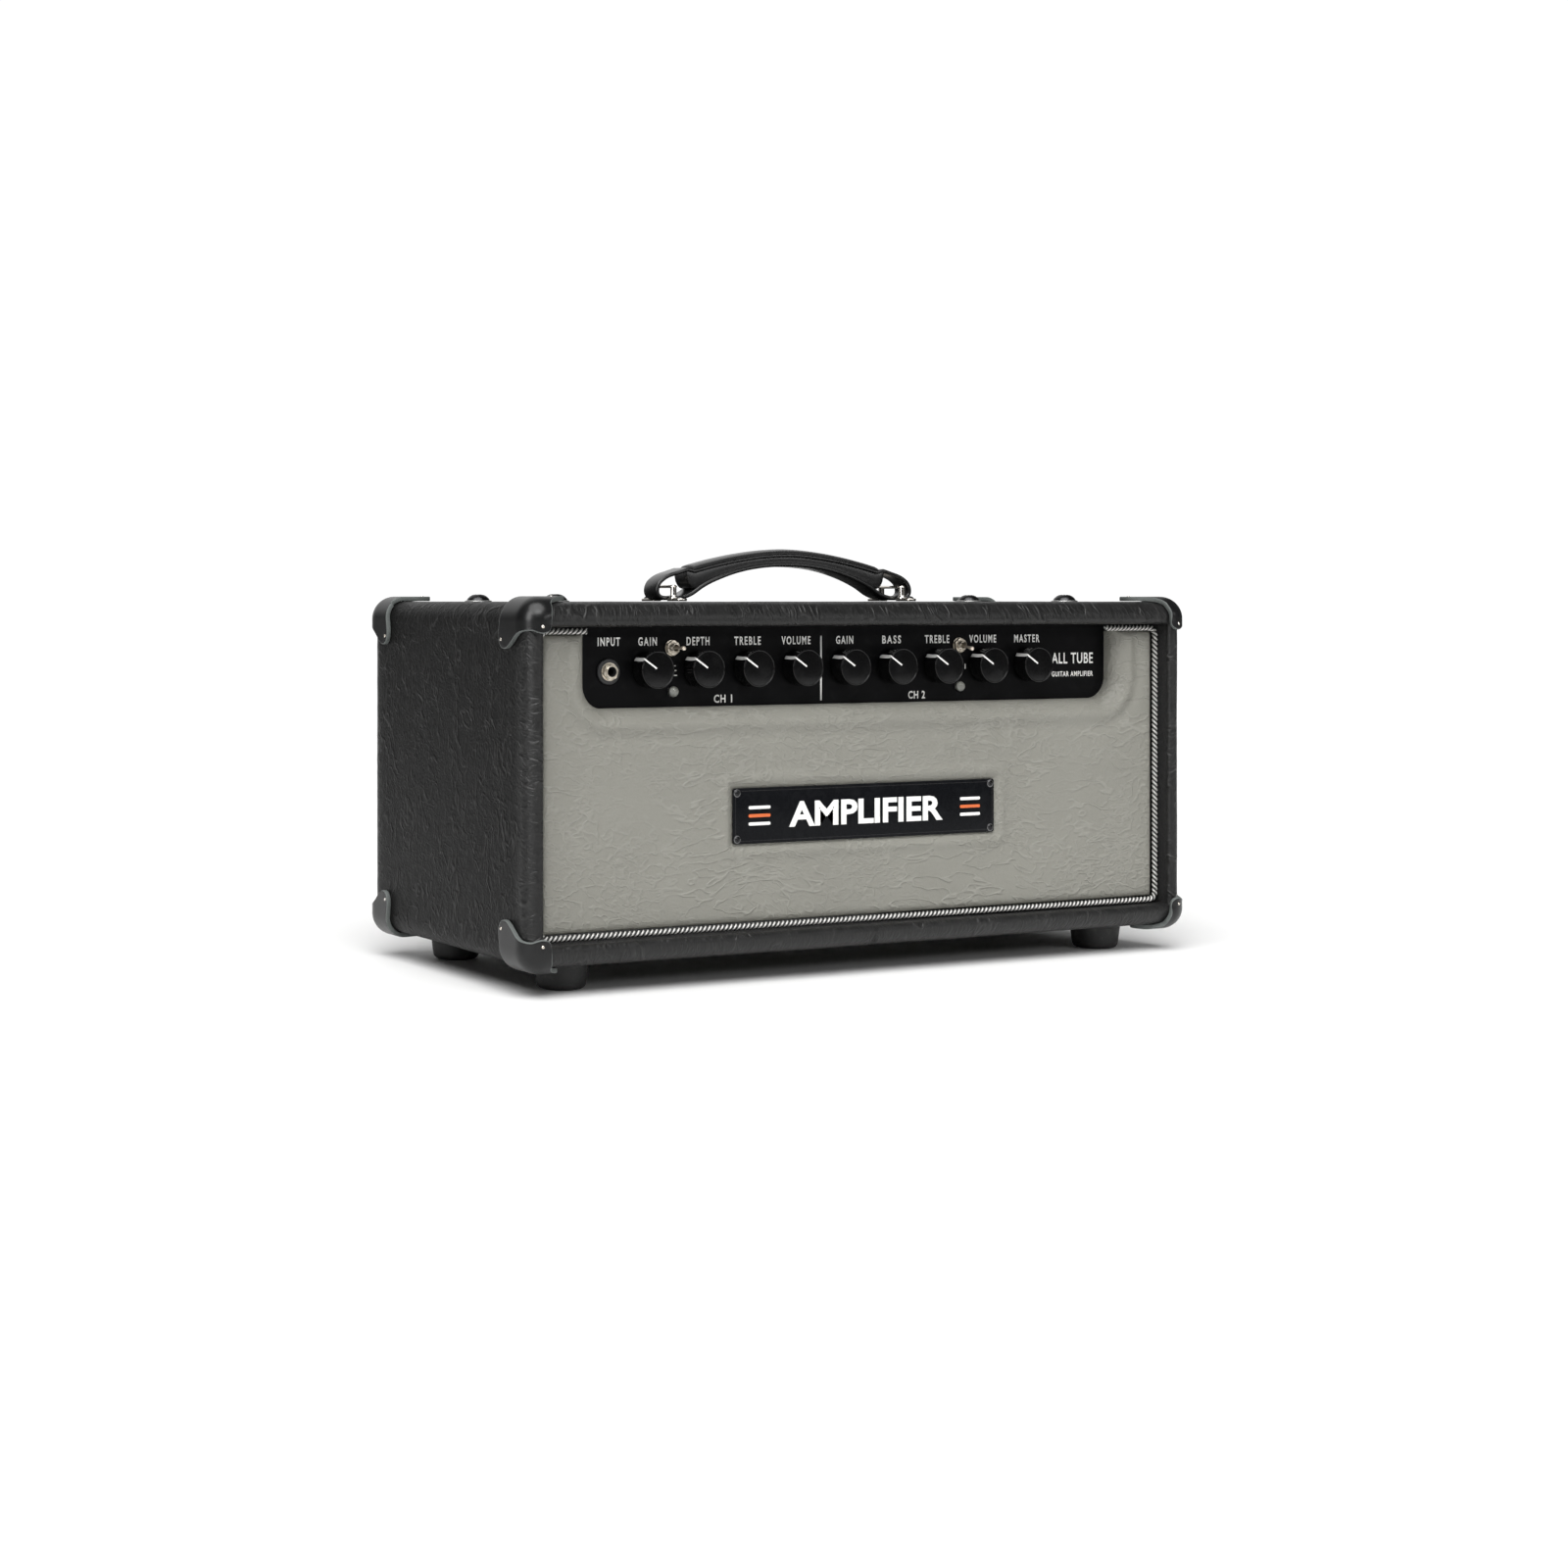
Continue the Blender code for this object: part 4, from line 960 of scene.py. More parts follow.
def make_piping():
    lo, hi = box_mm("baffle_piping")
    r = 2.6
    x_c, z_low, z_high = float(hi[0]) - r, float(lo[2]) + r, float(hi[2]) - r
    y_c = float(lo[1] + hi[1]) / 2
    bend = 6.0
    corners = [(-252.0, z_high)]
    corners += arc(-x_c + bend, z_high - bend, bend, 90, 180, 6)
    corners += arc(-x_c + bend, z_low + bend, bend, 180, 270, 6)
    corners += arc(x_c - bend, z_low + bend, bend, 270, 360, 6)
    corners += arc(x_c - bend, z_high - bend, bend, 0, 90, 6)
    corners.append((238.5, z_high))
    pts = np.array(corners)
    seg = np.hypot(*(pts[1:] - pts[:-1]).T)
    run = np.concatenate([[0], np.cumsum(seg)])
    length = run[-1]
    step = 0.55
    s = np.linspace(0, length, int(length / step) + 1)
    px, pz = np.interp(s, run, pts[:, 0]), np.interp(s, run, pts[:, 1])
    tx, tz = np.gradient(px), np.gradient(pz)
    norm = np.hypot(tx, tz)
    tx, tz = tx / norm, tz / norm
    pitch, strands, n = 7.8, 4, 6
    p = Piece("piping_cord")
    for q in range(strands):
        turn = 2 * math.pi * (s / pitch + q / strands)
        # every second strand is a thin dark one, set in the twist's grooves as painted shade between the white strands
        thick, out = (0.90, 1.44) if q % 2 else (1.12, 1.32)
        ox, oy = np.cos(turn) * out, np.sin(turn) * out
        cx, cy, cz = px - tz * ox, y_c + oy, pz + tx * ox
        rings = []
        for i in range(len(s)):
            ring = []
            for k in range(n):
                a = 2 * math.pi * k / n + turn[i]
                w, h = thick * math.cos(a), thick * math.sin(a)
                ring.append((cx[i] - tz[i] * w, cy[i] + h, cz[i] + tx[i] * w))
            rings.append(ring)
        p.loft(rings, M_GROOVE_SHADE_CORD if q % 2 else M_WHITE_CORD)
    return p.done(slot="braid", replaces=("baffle_piping",), sharp=None)


make_piping()

# ---------------------------------------------------------------- plate on the baffle


def make_plate():
    lo, hi = PLATE_LO, PLATE_HI
    hw, hh = float(hi[0]), float(hi[2] - lo[2]) / 2
    zc, y0, y1 = float(lo[2] + hi[2]) / 2, float(lo[1]), float(hi[1])
    p = Piece("plate_badge")
    p.slab(rounded_rect(hw, hh, 1.8, 5), y0 + 0.25, y1, M_PLATE, r=0.5, at=(0, 0, zc), steps=3)
    face = y0 + 0.25
    # a fine raised line just inside the rim
    outer, inner = rounded_rect(hw - 2.0, hh - 2.0, 1.2, 4), rounded_rect(hw - 2.45, hh - 2.45, 1.0, 4)
    rings = [[(x, face + 0.05, z) for x, z in outer], [(x, face - 0.09, z) for x, z in outer],
             [(x, face - 0.09, z) for x, z in inner], [(x, face + 0.05, z) for x, z in inner]]
    p.loft(rings, M_DARK_STEEL, closed=True, at=(0, 0, zc))
    p.text("AMPLIFIER", 19.5, (0, zc), face + 0.02, M_PRINT, bold=0.03, depth=0.16, width=146.0)
    for sx in (-1, 1):
        for k, width in enumerate((20.0, 20.0, 20.0)):
            z = zc + (k - 1) * 6.2
            bar = rounded_rect(width / 2, 1.25, 1.2, 4)
            p.slab(bar, face - 0.14, face + 0.02, M_ORANGE if k == 1 else M_PRINT, r=0.05, at=(sx * 100.0, 0, z), steps=1)
        for sz in (-1, 1):
            x, z = sx * 120.2, zc + sz * 17.6
            p.lathe([(0, -0.15), (2.9, -0.15), (3.1, 0.0), (3.1, 0.2), (0, 0.2)], 28, M_OXIDE, at=(x, face, z))
            p.screw((x, face - 0.12, z), (0, -1, 0), 2.35, M_DARK_STEEL, 0.9)
    return p.done(slot="plate", replaces=("nameplate",), sharp=45)


make_plate()

# ---------------------------------------------------------------- leather corners

SIDE_LOBE = [(37.6, 0), (37.7, 5), (38.6, 12), (40.0, 19), (40.6, 25), (39.4, 30), (36.0, 33.4), (31.5, 34.2), (27.0, 32.8),
             (21.5, 29.2), (15.5, 24.8), (10.5, 22.0), (5, 20.9), (0, 20.7)]
TOP_LOBE = [(18.5, 0), (19.6, 3.6), (23.0, 7.6), (28.5, 11.0), (34.5, 14.6), (39.4, 19.6), (41.0, 26.0), (39.4, 32.6), (34.5, 37.4),
            (27.0, 39.6), (19.0, 39.4), (11, 38.2), (5, 37.7), (0, 37.6)]
BOTTOM_LOBE = [(18.5, 0), (19.4, 3.6), (22.0, 7.4), (26.4, 10.6), (30.6, 14.4), (33.0, 19.4), (33.4, 25.0), (31.0, 30.0), (26.4, 33.6),
               (20.0, 35.4), (13, 36.2), (8, 36.9), (4, 37.4), (0, 37.6)]
FRONT_LOBE = [(18.5, 0), (18.2, 4), (17.2, 8.5), (16.2, 13), (15.4, 17.0), (14.6, 20.2), (12.9, 22.2), (10.4, 22.9), (7.6, 22.4),
              (5.0, 21.6), (2.5, 20.9), (0, 20.7)]
LEATHER_T = 3.6


def lobe_line(points, n):
    line = smooth_line(points, 12)
    pts = np.array(line)
    seg = np.hypot(*(pts[1:] - pts[:-1]).T)
    run = np.concatenate([[0], np.cumsum(seg)])
    s = np.linspace(0, run[-1], n + 1)[:-1]
    return list(zip(np.interp(s, run, pts[:, 0]), np.interp(s, run, pts[:, 1])))


def corner_point(px, py, pz):
    """Depths behind the three faces -> the rounded surface's depths and its outward normal."""
    r = EDGE_R
    c = np.array([max(px, r), max(py, r), max(pz, r)])
    v = np.array([px, py, pz]) - c
    length = np.linalg.norm(v)
    nrm = v / length
    return c + nrm * r, nrm


def make_corner(name, sx, sy, sz, node_name):
    top = sz > 0
    face_n = 44
    loop = []
    shrink = 0.925 if sy > 0 else 1.0
    for a, b in lobe_line(SIDE_LOBE, face_n):
        loop.append((0.0, a * shrink, b))
    for a, b in lobe_line(FRONT_LOBE[::-1], face_n):
        loop.append((a, 0.0, b))
    for a, b in lobe_line(TOP_LOBE if top else BOTTOM_LOBE, face_n):
        loop.append((a, b * (shrink if sy < 0 or not top else 0.84), 0.0))
    n = len(loop)
    rows_n = 20
    base = np.zeros((rows_n, n, 3))
    wall = WALLS["top"] if top else WALLS["bottom"]
    for i, q in enumerate(loop):
        for k in range(rows_n):
            s = 1 - (1 - (k + 1) / rows_n) ** 1.0
            p = np.array(q) * s
            pos, nrm = corner_point(*p)
            # where the lobe passes the board's narrow nose it turns inwards with it
            if q[1] == 0.0 or pos[1] < 3.0:
                w_side = smoothstep((pos[2] - 9.0) / 9.0)
                over = pos[0] - 11.0
                if over > 0 and w_side > 0:
                    pos = pos + np.array([0, w_side * min(over, 6.0) ** 2 / 18.0, 0])
            base[k, i] = pos + nrm * 0.42
    apex, apex_n = corner_point(0.0, 0.0, 0.0)
    apex = apex + apex_n * 0.42
    # normals from the grid itself
    nrm = np.zeros_like(base)
    for k in range(rows_n):
        prev = base[k - 1] if k else np.repeat(apex[None, :], n, 0)
        nxt = base[min(k + 1, rows_n - 1)]
        du = nxt - prev
        dv = np.roll(base[k], -1, 0) - np.roll(base[k], 1, 0)
        m = np.cross(du, dv)
        m /= np.linalg.norm(m, axis=1)[:, None]
        m *= np.sign((m * (base[k] - np.array([40.0, 40.0, 40.0]))).sum(1))[:, None]
        nrm[k] = m
    edge_out = base[-1] - base[-2]
    edge_out /= np.linalg.norm(edge_out, axis=1)[:, None]
    t = LEATHER_T

    def swell(k, i):
        """Low, uneven puffing of the skin."""
        x, y, z = base[k, i]
        return 0.10 * fbm(x / 22 + sx * 3, y / 22 + sy * 5, z / 22 + sz * 7, 1)

    rings_in = [base[k] for k in range(rows_n)]
    rings_out = []
    for k in range(rows_n):
        ring = []
        for i in range(n):
            ring.append(base[k, i] + nrm[k, i] * (t + swell(min(k, rows_n - 2), i)))
        rings_out.append(np.array(ring))
    rim = []
    b, m, e = base[-1], nrm[-1], edge_out
    for off, out in ((0.06, 0.14), (0.20, 0.30), (0.50, 0.36), (0.80, 0.30), (0.93, 0.14), (0.985, -0.12)):
        wob = np.array([0.10 * fbm(i * 0.21 + 3 * sx, off * 2, sz + sy * 2, 2) for i in range(n)])[:, None]
        rim.append(b + m * (t * off) + e * (out + wob))
    rings_out[-1] = b + m * t - e * 0.5

    def world(pts):
        out = []
        for x, y, z in pts:
            out.append((sx * (HX - x), (FRONT + y) if sy < 0 else (REAR - y), (TOP - z) if top else (Z0 + z)))
        return out

    p = Piece(name)
    # one closed skin: inside rings, rim, outside rings
    rows = [("in", r) for r in rings_in] + [("rim", r) for r in rim] + [("out", r) for r in rings_out[::-1]]
    verts = world([apex]) + [q for _, r in rows for q in world(r)]
    last = len(verts)
    verts += world([apex + apex_n * t])
    faces, kinds = [], []
    for i in range(n):
        j = (i + 1) % n
        faces.append((0, 1 + j, 1 + i))
        kinds.append("in")
    for k in range(len(rows) - 1):
        a, c = 1 + k * n, 1 + (k + 1) * n
        kind = "rim" if ("rim" in (rows[k][0], rows[k + 1][0])) else rows[k][0]
        for i in range(n):
            j = (i + 1) % n
            faces.append((a + i, a + j, c + j, c + i))
            kinds.append(kind)
    a = 1 + (len(rows) - 1) * n
    for i in range(n):
        j = (i + 1) % n
        faces.append((a + i, a + j, last))
        kinds.append("out")
    _, made = p.add(verts, faces, M_LEATHER)
    edge = p.index(M_EDGE)
    for f, kind in zip(made, kinds):
        if kind in ("rim", "in"):
            f.material_index = edge

    def nail(q, lift=0.0):
        pos, m_ = corner_point(*q)
        if q[1] == 0.0 and pos[0] > 11.0:
            pos = pos + np.array([0, min(pos[0] - 11.0, 6.0) ** 2 / 18.0 * smoothstep((pos[2] - 9) / 9), 0])
        seat = world([pos + m_ * (0.42 + t + lift)])[0]
        d = (-sx * m_[0], (m_[1] if sy < 0 else -m_[1]), (-m_[2] if top else m_[2]))
        d = (-sx * m_[0], m_[1] * (1 if sy < 0 else -1), -m_[2] if top else m_[2])
        turn = Vector((0, 0, 1)).rotation_difference(Vector(d)).to_matrix().to_4x4()
        p.lathe([(0, 0.62), (0.55, 0.58), (1.05, 0.38), (1.35, 0.0), (1.1, -0.25), (0.4, -0.3), (0, -0.3)], 20, M_NICKEL,
                at=seat, axis="Z", matrix=turn)

    nail((0.0, 36.6 * shrink, 27.6))
    nail((10.2, 0.0, 18.0))
    nail((34.0, 29.0 * (shrink if sy < 0 else 0.84), 0.0) if top else (27.5, 26.0 * shrink, 0.0))

    return p.done(slot="leather", replaces=(node_name,), sharp=None)


for sx, side in ((-1, "left"), (1, "right")):
    for sy, end in ((-1, "front"), (1, "rear")):
        for sz, level in ((-1, "bottom"), (1, "top")):
            make_corner(f"leather_corner_{end}_{side}_{level}", sx, sy, sz, f"corner_{end}_{side}_{level}")

# ---------------------------------------------------------------- feet and chassis bolts

M_PRINT_DARK = make_print("print_black", (0.012, 0.012, 0.012))
M_CERAMIC = make_plastic("socket_ceramic", (0.52, 0.50, 0.45), 0.35, 0.00005)
M_MICA = make_plastic("mica_disc", (0.60, 0.55, 0.45), 0.25, 0.00003)


def centre(node):
    lo, hi = box_mm(node)
    return [float(v) for v in (lo + hi) / 2], lo, hi


for k in range(4):
    (cx, cy, cz), lo, hi = centre(f"foot_{k + 1}")
    p = Piece(f"foot_rubber_{k + 1}")
    side = soft([(0, 20.6), (20.6, 20.6), (19.8, 14.0), (18.7, 5.0)], 0.8, 3)
    side += arc(13.9, 4.6, 4.6, 0, -90, 9)[1:]
    side += soft([(13.0, 0.0), (6.7, 0.0), (5.9, 1.2), (5.9, 11.6), (0, 11.6)], 0.8, 3)
    p.lathe(side, 64, M_RUBBER, at=(cx, cy, 0), axis="Z")
    p.lathe(soft([(0, 11.7), (5.7, 11.7), (5.7, 10.6), (3.4, 10.4), (0, 10.4)], 0.3, 2), 32, M_STEEL, at=(cx, cy, 0), axis="Z")
    p.screw((cx, cy, 10.5), (0, 0, -1), 3.9, M_STEEL, 2.2)
    p.done(slot="rubber", replaces=(f"foot_{k + 1}",))

for k in range(4):
    (cx, cy, _), lo, hi = centre(f"chassis_bolt_{k + 1}")
    p = Piece(f"bolt_head_{k + 1}")
    p.lathe(soft([(0, 287.6), (10.7, 287.6), (11.0, 288.3), (10.2, 288.95), (0, 288.95)], 0.3, 3), 48, M_STEEL, at=(cx, cy, 0), axis="Z")
    p.screw((cx, cy, 288.55), (0, 0, 1), 9.3, M_DARK_STEEL, 5.2)
    p.lathe(soft([(0, 263.0), (2.3, 263.0), (2.75, 263.8), (2.75, 288.0), (0, 288.0)], 0.3, 2), 20, M_STEEL, at=(cx, cy, 0), axis="Z")
    p.done(slot="black_steel", replaces=(f"chassis_bolt_{k + 1}",))

# ---------------------------------------------------------------- handle


def strap_top(x):
    return 330.4 - 23.0 * (abs(x) / 122.0) ** 1.75


def strap_under(x):
    return 316.4 - 22.0 * (abs(x) / 90.0) ** 2.3


def make_handle():
    upper = [(x, strap_top(x)) for x in (-104, -94, -84, -73, -62, -51, -40, -30, -20, -10, 0, 10, 20, 30, 40, 51, 62, 73, 84, 94, 104)]
    lower = [(x, strap_under(x)) for x in (80, 66, 50, 32, 12, -12, -32, -50, -66, -80)]
    right = [(113, 310.4), (118.6, 307.6), (123.0, 303.8), (125.2, 298.8), (124.8, 293.8), (121.6, 290.4), (115.5, 289.2), (103, 289.4), (92, 292.6)]
    left = [(-x, z) for x, z in reversed(right)]
    line = smooth_line(upper + right + lower + left, 5, closed=True)
    pts = np.array(line)
    seg = np.hypot(*(np.roll(pts, -1, 0) - pts).T)
    run = np.concatenate([[0], np.cumsum(seg)])
    s = np.linspace(0, run[-1], 361)[:-1]
    closed = np.vstack([pts, pts[:1]])
    x, z = np.interp(s, run, closed[:, 0]), np.interp(s, run, closed[:, 1])
    dx, dz = np.roll(x, -1) - np.roll(x, 1), np.roll(z, -1) - np.roll(z, 1)
    norm = np.hypot(dx, dz)
    nx, nz = dz / norm, -dx / norm                 # the outline runs clockwise: this points inwards
    if nz[int(len(s) * 0.18)] > 0:
        nx, nz = -nx, -nz
    p = Piece("handle_leather")
    thick = 3.3
    section = soft([(-11, 0), (11, 0), (11, thick), (-11, thick)], 1.35, 3, closed=True)
    rings = []
    for i in range(len(s)):
        upper_side = z[i] > strap_under(0) - 30 and abs(x[i]) < 98 and z[i] > 0.5 * (strap_top(x[i]) + max(strap_under(x[i]), 288))
        drop = 3.0 * smoothstep((97 - abs(x[i])) / 7) if upper_side else 0.0
        taper = 1.0 - 0.10 * smoothstep((abs(x[i]) - 96) / 16)
        wob = 0.12 * fbm(s[i] / 22, 0.7, 2.0, 2)
        rings.append([(x[i] + nx[i] * (q + drop + wob), y * taper, z[i] + nz[i] * (q + drop + wob)) for y, q in section])
    p.loft(rings, M_STRAP, closed=True)
    # the padded core between the two leather layers
    rings = []
    for a in np.linspace(-97.0, 97.0, 121):
        a = float(a)
        hi_z = strap_top(a) - 3.0 * smoothstep((97 - abs(a)) / 7) - 1.4
        lo_z = strap_under(a) + 1.6
        t = max(0.0, (abs(a) - 82.0) / 15.0)
        lo_z = lo_z + (hi_z - 1.2 - lo_z) * (1 - math.sqrt(max(0.0, 1 - min(1.0, t) ** 2)))
        half = (hi_z - lo_z) / 2
        ring = rounded_rect(9.8, half, min(1.6, half * 0.8), 3)
        rings.append([(a, y, (hi_z + lo_z) / 2 + z_) for y, z_ in ring])
    p.loft(rings, M_STRAP)
    # the stitched cover along the grip
    n_x, rows = 150, 15
    rings = []
    for i in range(n_x + 1):
        a = -92.0 + 184.0 * i / n_x
        end = min(1.0, (92.0 - abs(a)) / 3.0)
        end = math.sqrt(max(0.0, 1 - (1 - end) ** 2))
        ring = []
        zt = strap_top(a)
        slope = (strap_top(a + 0.5) - strap_top(a - 0.5))
        length = math.hypot(1, slope)
        ux, uz = -slope / length, 1 / length
        half = 11.35
        for k in range(rows + 1):
            y = -half + 2 * half * k / rows
            t = abs(y) / half
            dome = 2.2 * (1 - t ** 2.4)
            groove = 0.42 * math.exp(-((abs(y) - 8.9) / 0.75) ** 2)
            rim = 1.15 * (1 - max(0, (t - 0.90) / 0.10) ** 2 * 0.7)
            h = (-2.75 + (dome + rim - groove) * end + 0.05 * fbm(a / 9, y / 6, 4.0, 2) * end)
            ring.append((a + ux * h, y, zt + uz * h))
        for k in range(rows, -1, -1):
            y = -half + 2 * half * k / rows
            h = -3.35
            ring.append((a + ux * h, y * 0.985, zt + uz * h))
        rings.append(ring)
    p.loft(rings, M_STRAP)
    # stitches: short angled threads sunk in the groove
    a = -89.0
    while a < 89.2:
        zt = strap_top(a)
        slope = strap_top(a + 0.5) - strap_top(a - 0.5)
        length = math.hypot(1, slope)
        tx, tz, ux, uz = 1 / length, slope / length, -slope / length, 1 / length
        for sy in (-1, 1):
            path = []
            for t, lift in ((-1.15, -0.25), (-0.8, 0.10), (0, 0.24), (0.8, 0.10), (1.15, -0.25)):
                t_ = abs(8.9) / 11.35
                h = -2.75 + 2.2 * (1 - t_ ** 2.4) + 1.15 - 0.42 + lift
                path.append((a + tx * t + ux * h, sy * (8.9 + 0.12 * t), zt + tz * t + uz * h))
            p.tube(path, 0.36, 8, M_STITCH)
        a += 3.15
    p.done(body="handle", slot="leather", replaces=("handle_strap",), sharp=55)


make_handle()

for sx, side in ((-1, "left"), (1, "right")):
    (cx, _, _), lo, hi = centre(f"handle_bracket_{side}")
    p = Piece(f"bracket_{side}")
    low, high = 288.35, 301.3
    for sy in (-1, 1):
        # rounded foot flange with its screw, and a turned post
        foot = []
        for a, b in arc(cx, sy * 25.0, 5.0, 0, 180, 12) if sy > 0 else arc(cx, sy * 25.0, 5.0, 180, 360, 12):
            foot.append((a, b))
        foot += [(cx - 5.0, sy * 12.6), (cx + 5.0, sy * 12.6)] if sy > 0 else [(cx + 5.0, sy * 12.6), (cx - 5.0, sy * 12.6)]
        p.slab(foot, low, low + 2.1, M_NICKEL, axis="Z", r=0.55, steps=3)
        p.screw((cx, sy * 24.2, low + 2.05), (0, 0, 1), 3.7, M_DARK_STEEL, 2.0)
        post = soft([(0, low), (3.6, low), (3.6, low + 3.2), (2.5, low + 4.2), (2.5, high - 1.0), (1.6, high), (0, high)], 0.5, 3)
        p.lathe(post, 28, M_NICKEL, at=(cx, sy * 14.1, 0), axis="Z")
    bar = [(cx + 4.2 * math.cos(2 * math.pi * k / 24) * 1.0, 1.25 * math.sin(2 * math.pi * k / 24)) for k in range(24)]
    rings = []
    for k in range(17):
        y = -15.6 + 31.2 * k / 16
        w = math.sqrt(max(0.05, 1 - (abs(y) / 16.0) ** 10))
        rings.append([(cx + (a - cx) * w, y, high - 1.3 + b * min(1.0, w + 0.2)) for a, b in bar])
    p.loft(rings, M_NICKEL)
    p.done(slot="nickel", replaces=(f"handle_bracket_{side}",))

# ---------------------------------------------------------------- control panel print

p = Piece("panel_print")
face = PANEL_FACE - 0.01
for word, x, width in (("INPUT", -223.4, 19.3), ("GAIN", -189.7, 16.4), ("DEPTH", -145.0, 20.5), ("TREBLE", -100.2, 24.2),
                       ("VOLUME", -55.4, 27.0), ("GAIN", -9.7, 16.4), ("BASS", 35.5, 18.2), ("TREBLE", 80.1, 24.2),
                       ("VOLUME", 125.7, 27.0), ("MASTER", 170.7, 26.0)):
    p.text(word, 6.5, (x, Z0 + 237.0), face, M_PRINT, bold=0.023, depth=0.06, width=width, spacing=1.30)
for word, x in (("CH 1", -122.5), ("CH 2", 59.9)):
    p.text(word, 6.2, (x, Z0 + 192.9), face, M_PRINT_DIM, bold=0.022, depth=0.06, width=16.5, spacing=1.15)
p.slab([(-32.75, Z0 + 190.0), (-31.25, Z0 + 190.0), (-31.25, Z0 + 240.4), (-32.75, Z0 + 240.4)], face - 0.06, face, M_PRINT, r=0.02, steps=1)
p.text("ALL TUBE", 9.0, (218.0, Z0 + 220.5), face, M_PRINT, bold=0.012, depth=0.06, width=43.0, spacing=1.12)
p.text("GUITAR AMPLIFIER", 4.2, (218.0, Z0 + 207.6), face, M_PRINT, bold=0.014, depth=0.06, width=43.0, spacing=1.18)
# three small position marks beside the first switch, one beside the second
for dz, w in ((218.4, 1.5), (214.9, 2.1), (211.2, 2.7)):
    z = Z0 + dz
    p.slab([(-166.3, z - 0.35), (-166.3 + w, z - 0.35), (-166.3 + w, z + 0.35), (-166.3, z + 0.35)], face - 0.06, face, M_PRINT_DIM, r=0.02, steps=1)
p.slab([(107.6, Z0 + 212.9), (108.5, Z0 + 212.9), (108.5, Z0 + 217.0), (107.6, Z0 + 217.0)], face - 0.06, face, M_PRINT_DIM, r=0.02, steps=1)
p.done(slot="panel_black", sharp=None)

# ---------------------------------------------------------------- knobs

KNOB_PROFILE = [(0, 11.6), (2.5, 11.6), (2.95, 11.1), (2.95, 0.0), (12.4, 0.0), (13.7, -0.05), (14.15, -0.35), (14.28, -0.9),
                (14.16, -2.2), (13.95, -4.4), (13.80, -6.8), (13.78, -8.8), (13.88, -11.0), (14.06, -12.8), (14.20, -13.8),
                (14.22, -14.45), (14.10, -14.78), (13.85, -14.96), (13.55, -15.0), (13.3, -14.9), (13.15, -14.70), (9.0, -14.84), (4.0, -14.92),
                (0, -14.93)]
KNOB_SPAN = [q for q in KNOB_PROFILE if q[1] < -0.3]


def make_knob(node, body, axis_x):
    lo, hi = box_mm(node)
    cx, cz = float(lo[0] + hi[0]) / 2, float(lo[2] + hi[2]) / 2
    back = -103.0
    p = Piece(node.replace("knob_", "dial_"))
    p.lathe(KNOB_PROFILE, 96, M_KNOB, at=(cx, back, cz))
    # the pointer: a white strip down the side and in over the face
    t = math.radians(90 + 56)
    cr, sr = math.cos(t), math.sin(t)
    path = [q for q in KNOB_SPAN if q[1] <= -0.35 and q[0] > 1.0]
    path = path + [(1.9, -14.93)]
    path[0] = (path[0][0], -0.6)
    rings = []
    for i, (r, h) in enumerate(path):
        a, b = path[max(i - 1, 0)], path[min(i + 1, len(path) - 1)]
        d = np.array([b[0] - a[0], b[1] - a[1]])
        d = d / np.linalg.norm(d)
        out = np.array([-d[1], d[0]])
        if out[0] * 0.5 - out[1] < 0:
            out = -out
        ring = []
        half = 1.45 if h > -13.0 else (1.45 - 0.83 * min(1.0, (-13.0 - h) / 1.6) if r > 13.4 else 0.62)
        for w, up in ((-1.0, -0.2), (-1.0, 0.07), (-0.8, 0.12), (0.8, 0.12), (1.0, 0.07), (1.0, -0.2)):
            w *= half
            rr, hh = r + out[0] * up, h + out[1] * up
            ring.append((cx + cr * rr - sr * w, back + hh, cz + sr * rr + cr * w))
        rings.append(ring)
    p.loft(rings, M_PRINT)
    p.done(body=body, slot="gloss_black", replaces=(node,), sharp=42)


for tag in ("gain_1", "depth_1", "treble_1", "volume_1", "gain_2", "bass_2", "treble_2", "volume_2", "master"):
    make_knob(f"knob_{tag}", f"{tag}_knob", None)


# ---------------------------------------------------------------- jack, toggles, lamps

(jx, _, jz), lo, hi = centre("input_jack")
p = Piece("jack_socket")
p.lathe(soft([(5.4, 0.0), (9.9, 0.0), (10.0, -0.9), (9.4, -1.9), (7.2, -2.1), (5.4, -2.1)], 0.5, 3, closed=True), 72, M_PLASTIC,
        at=(jx, PANEL_Y, jz), ring=True)
p.lathe(soft([(5.15, -1.9), (6.9, -1.9), (6.9, -2.5), (5.15, -2.5)], 0.15, 2, closed=True), 56, M_WARM, at=(jx, PANEL_Y, jz), ring=True)
n = 72
rings = []
for h, chamfer, inner in ((-2.5, 0.97, False), (-4.6, 1.0, False), (-5.1, 0.93, False), (-5.25, 0.86, False), (-5.25, 0, True), (-2.5, 0, True)):
    ring = []
    for k in range(n):
        a = 2 * math.pi * k / n
        local = (a - math.radians(14)) % (math.pi / 3) - math.pi / 6
        rr = 5.0 if inner else min(6.75 * math.cos(math.pi / 6) / math.cos(local), 6.75 * chamfer)
        ring.append((rr * math.cos(a), h, rr * math.sin(a)))
    rings.append(ring)
p.loft(rings, M_WARM, closed=True, at=(jx, PANEL_Y, jz))
barrel = [(3.85, -6.1), (4.0, -6.45), (4.6, -6.6), (5.05, -6.3)]
h = -6.1
while h < -4.9:
    barrel += [(5.15, h + 0.15), (4.9, h + 0.35)]
    h += 0.4
barrel += [(5.1, -4.6), (5.1, 16.0), (3.85, 16.0)]
p.lathe(barrel, 48, M_WARM, at=(jx, PANEL_Y, jz), ring=True)
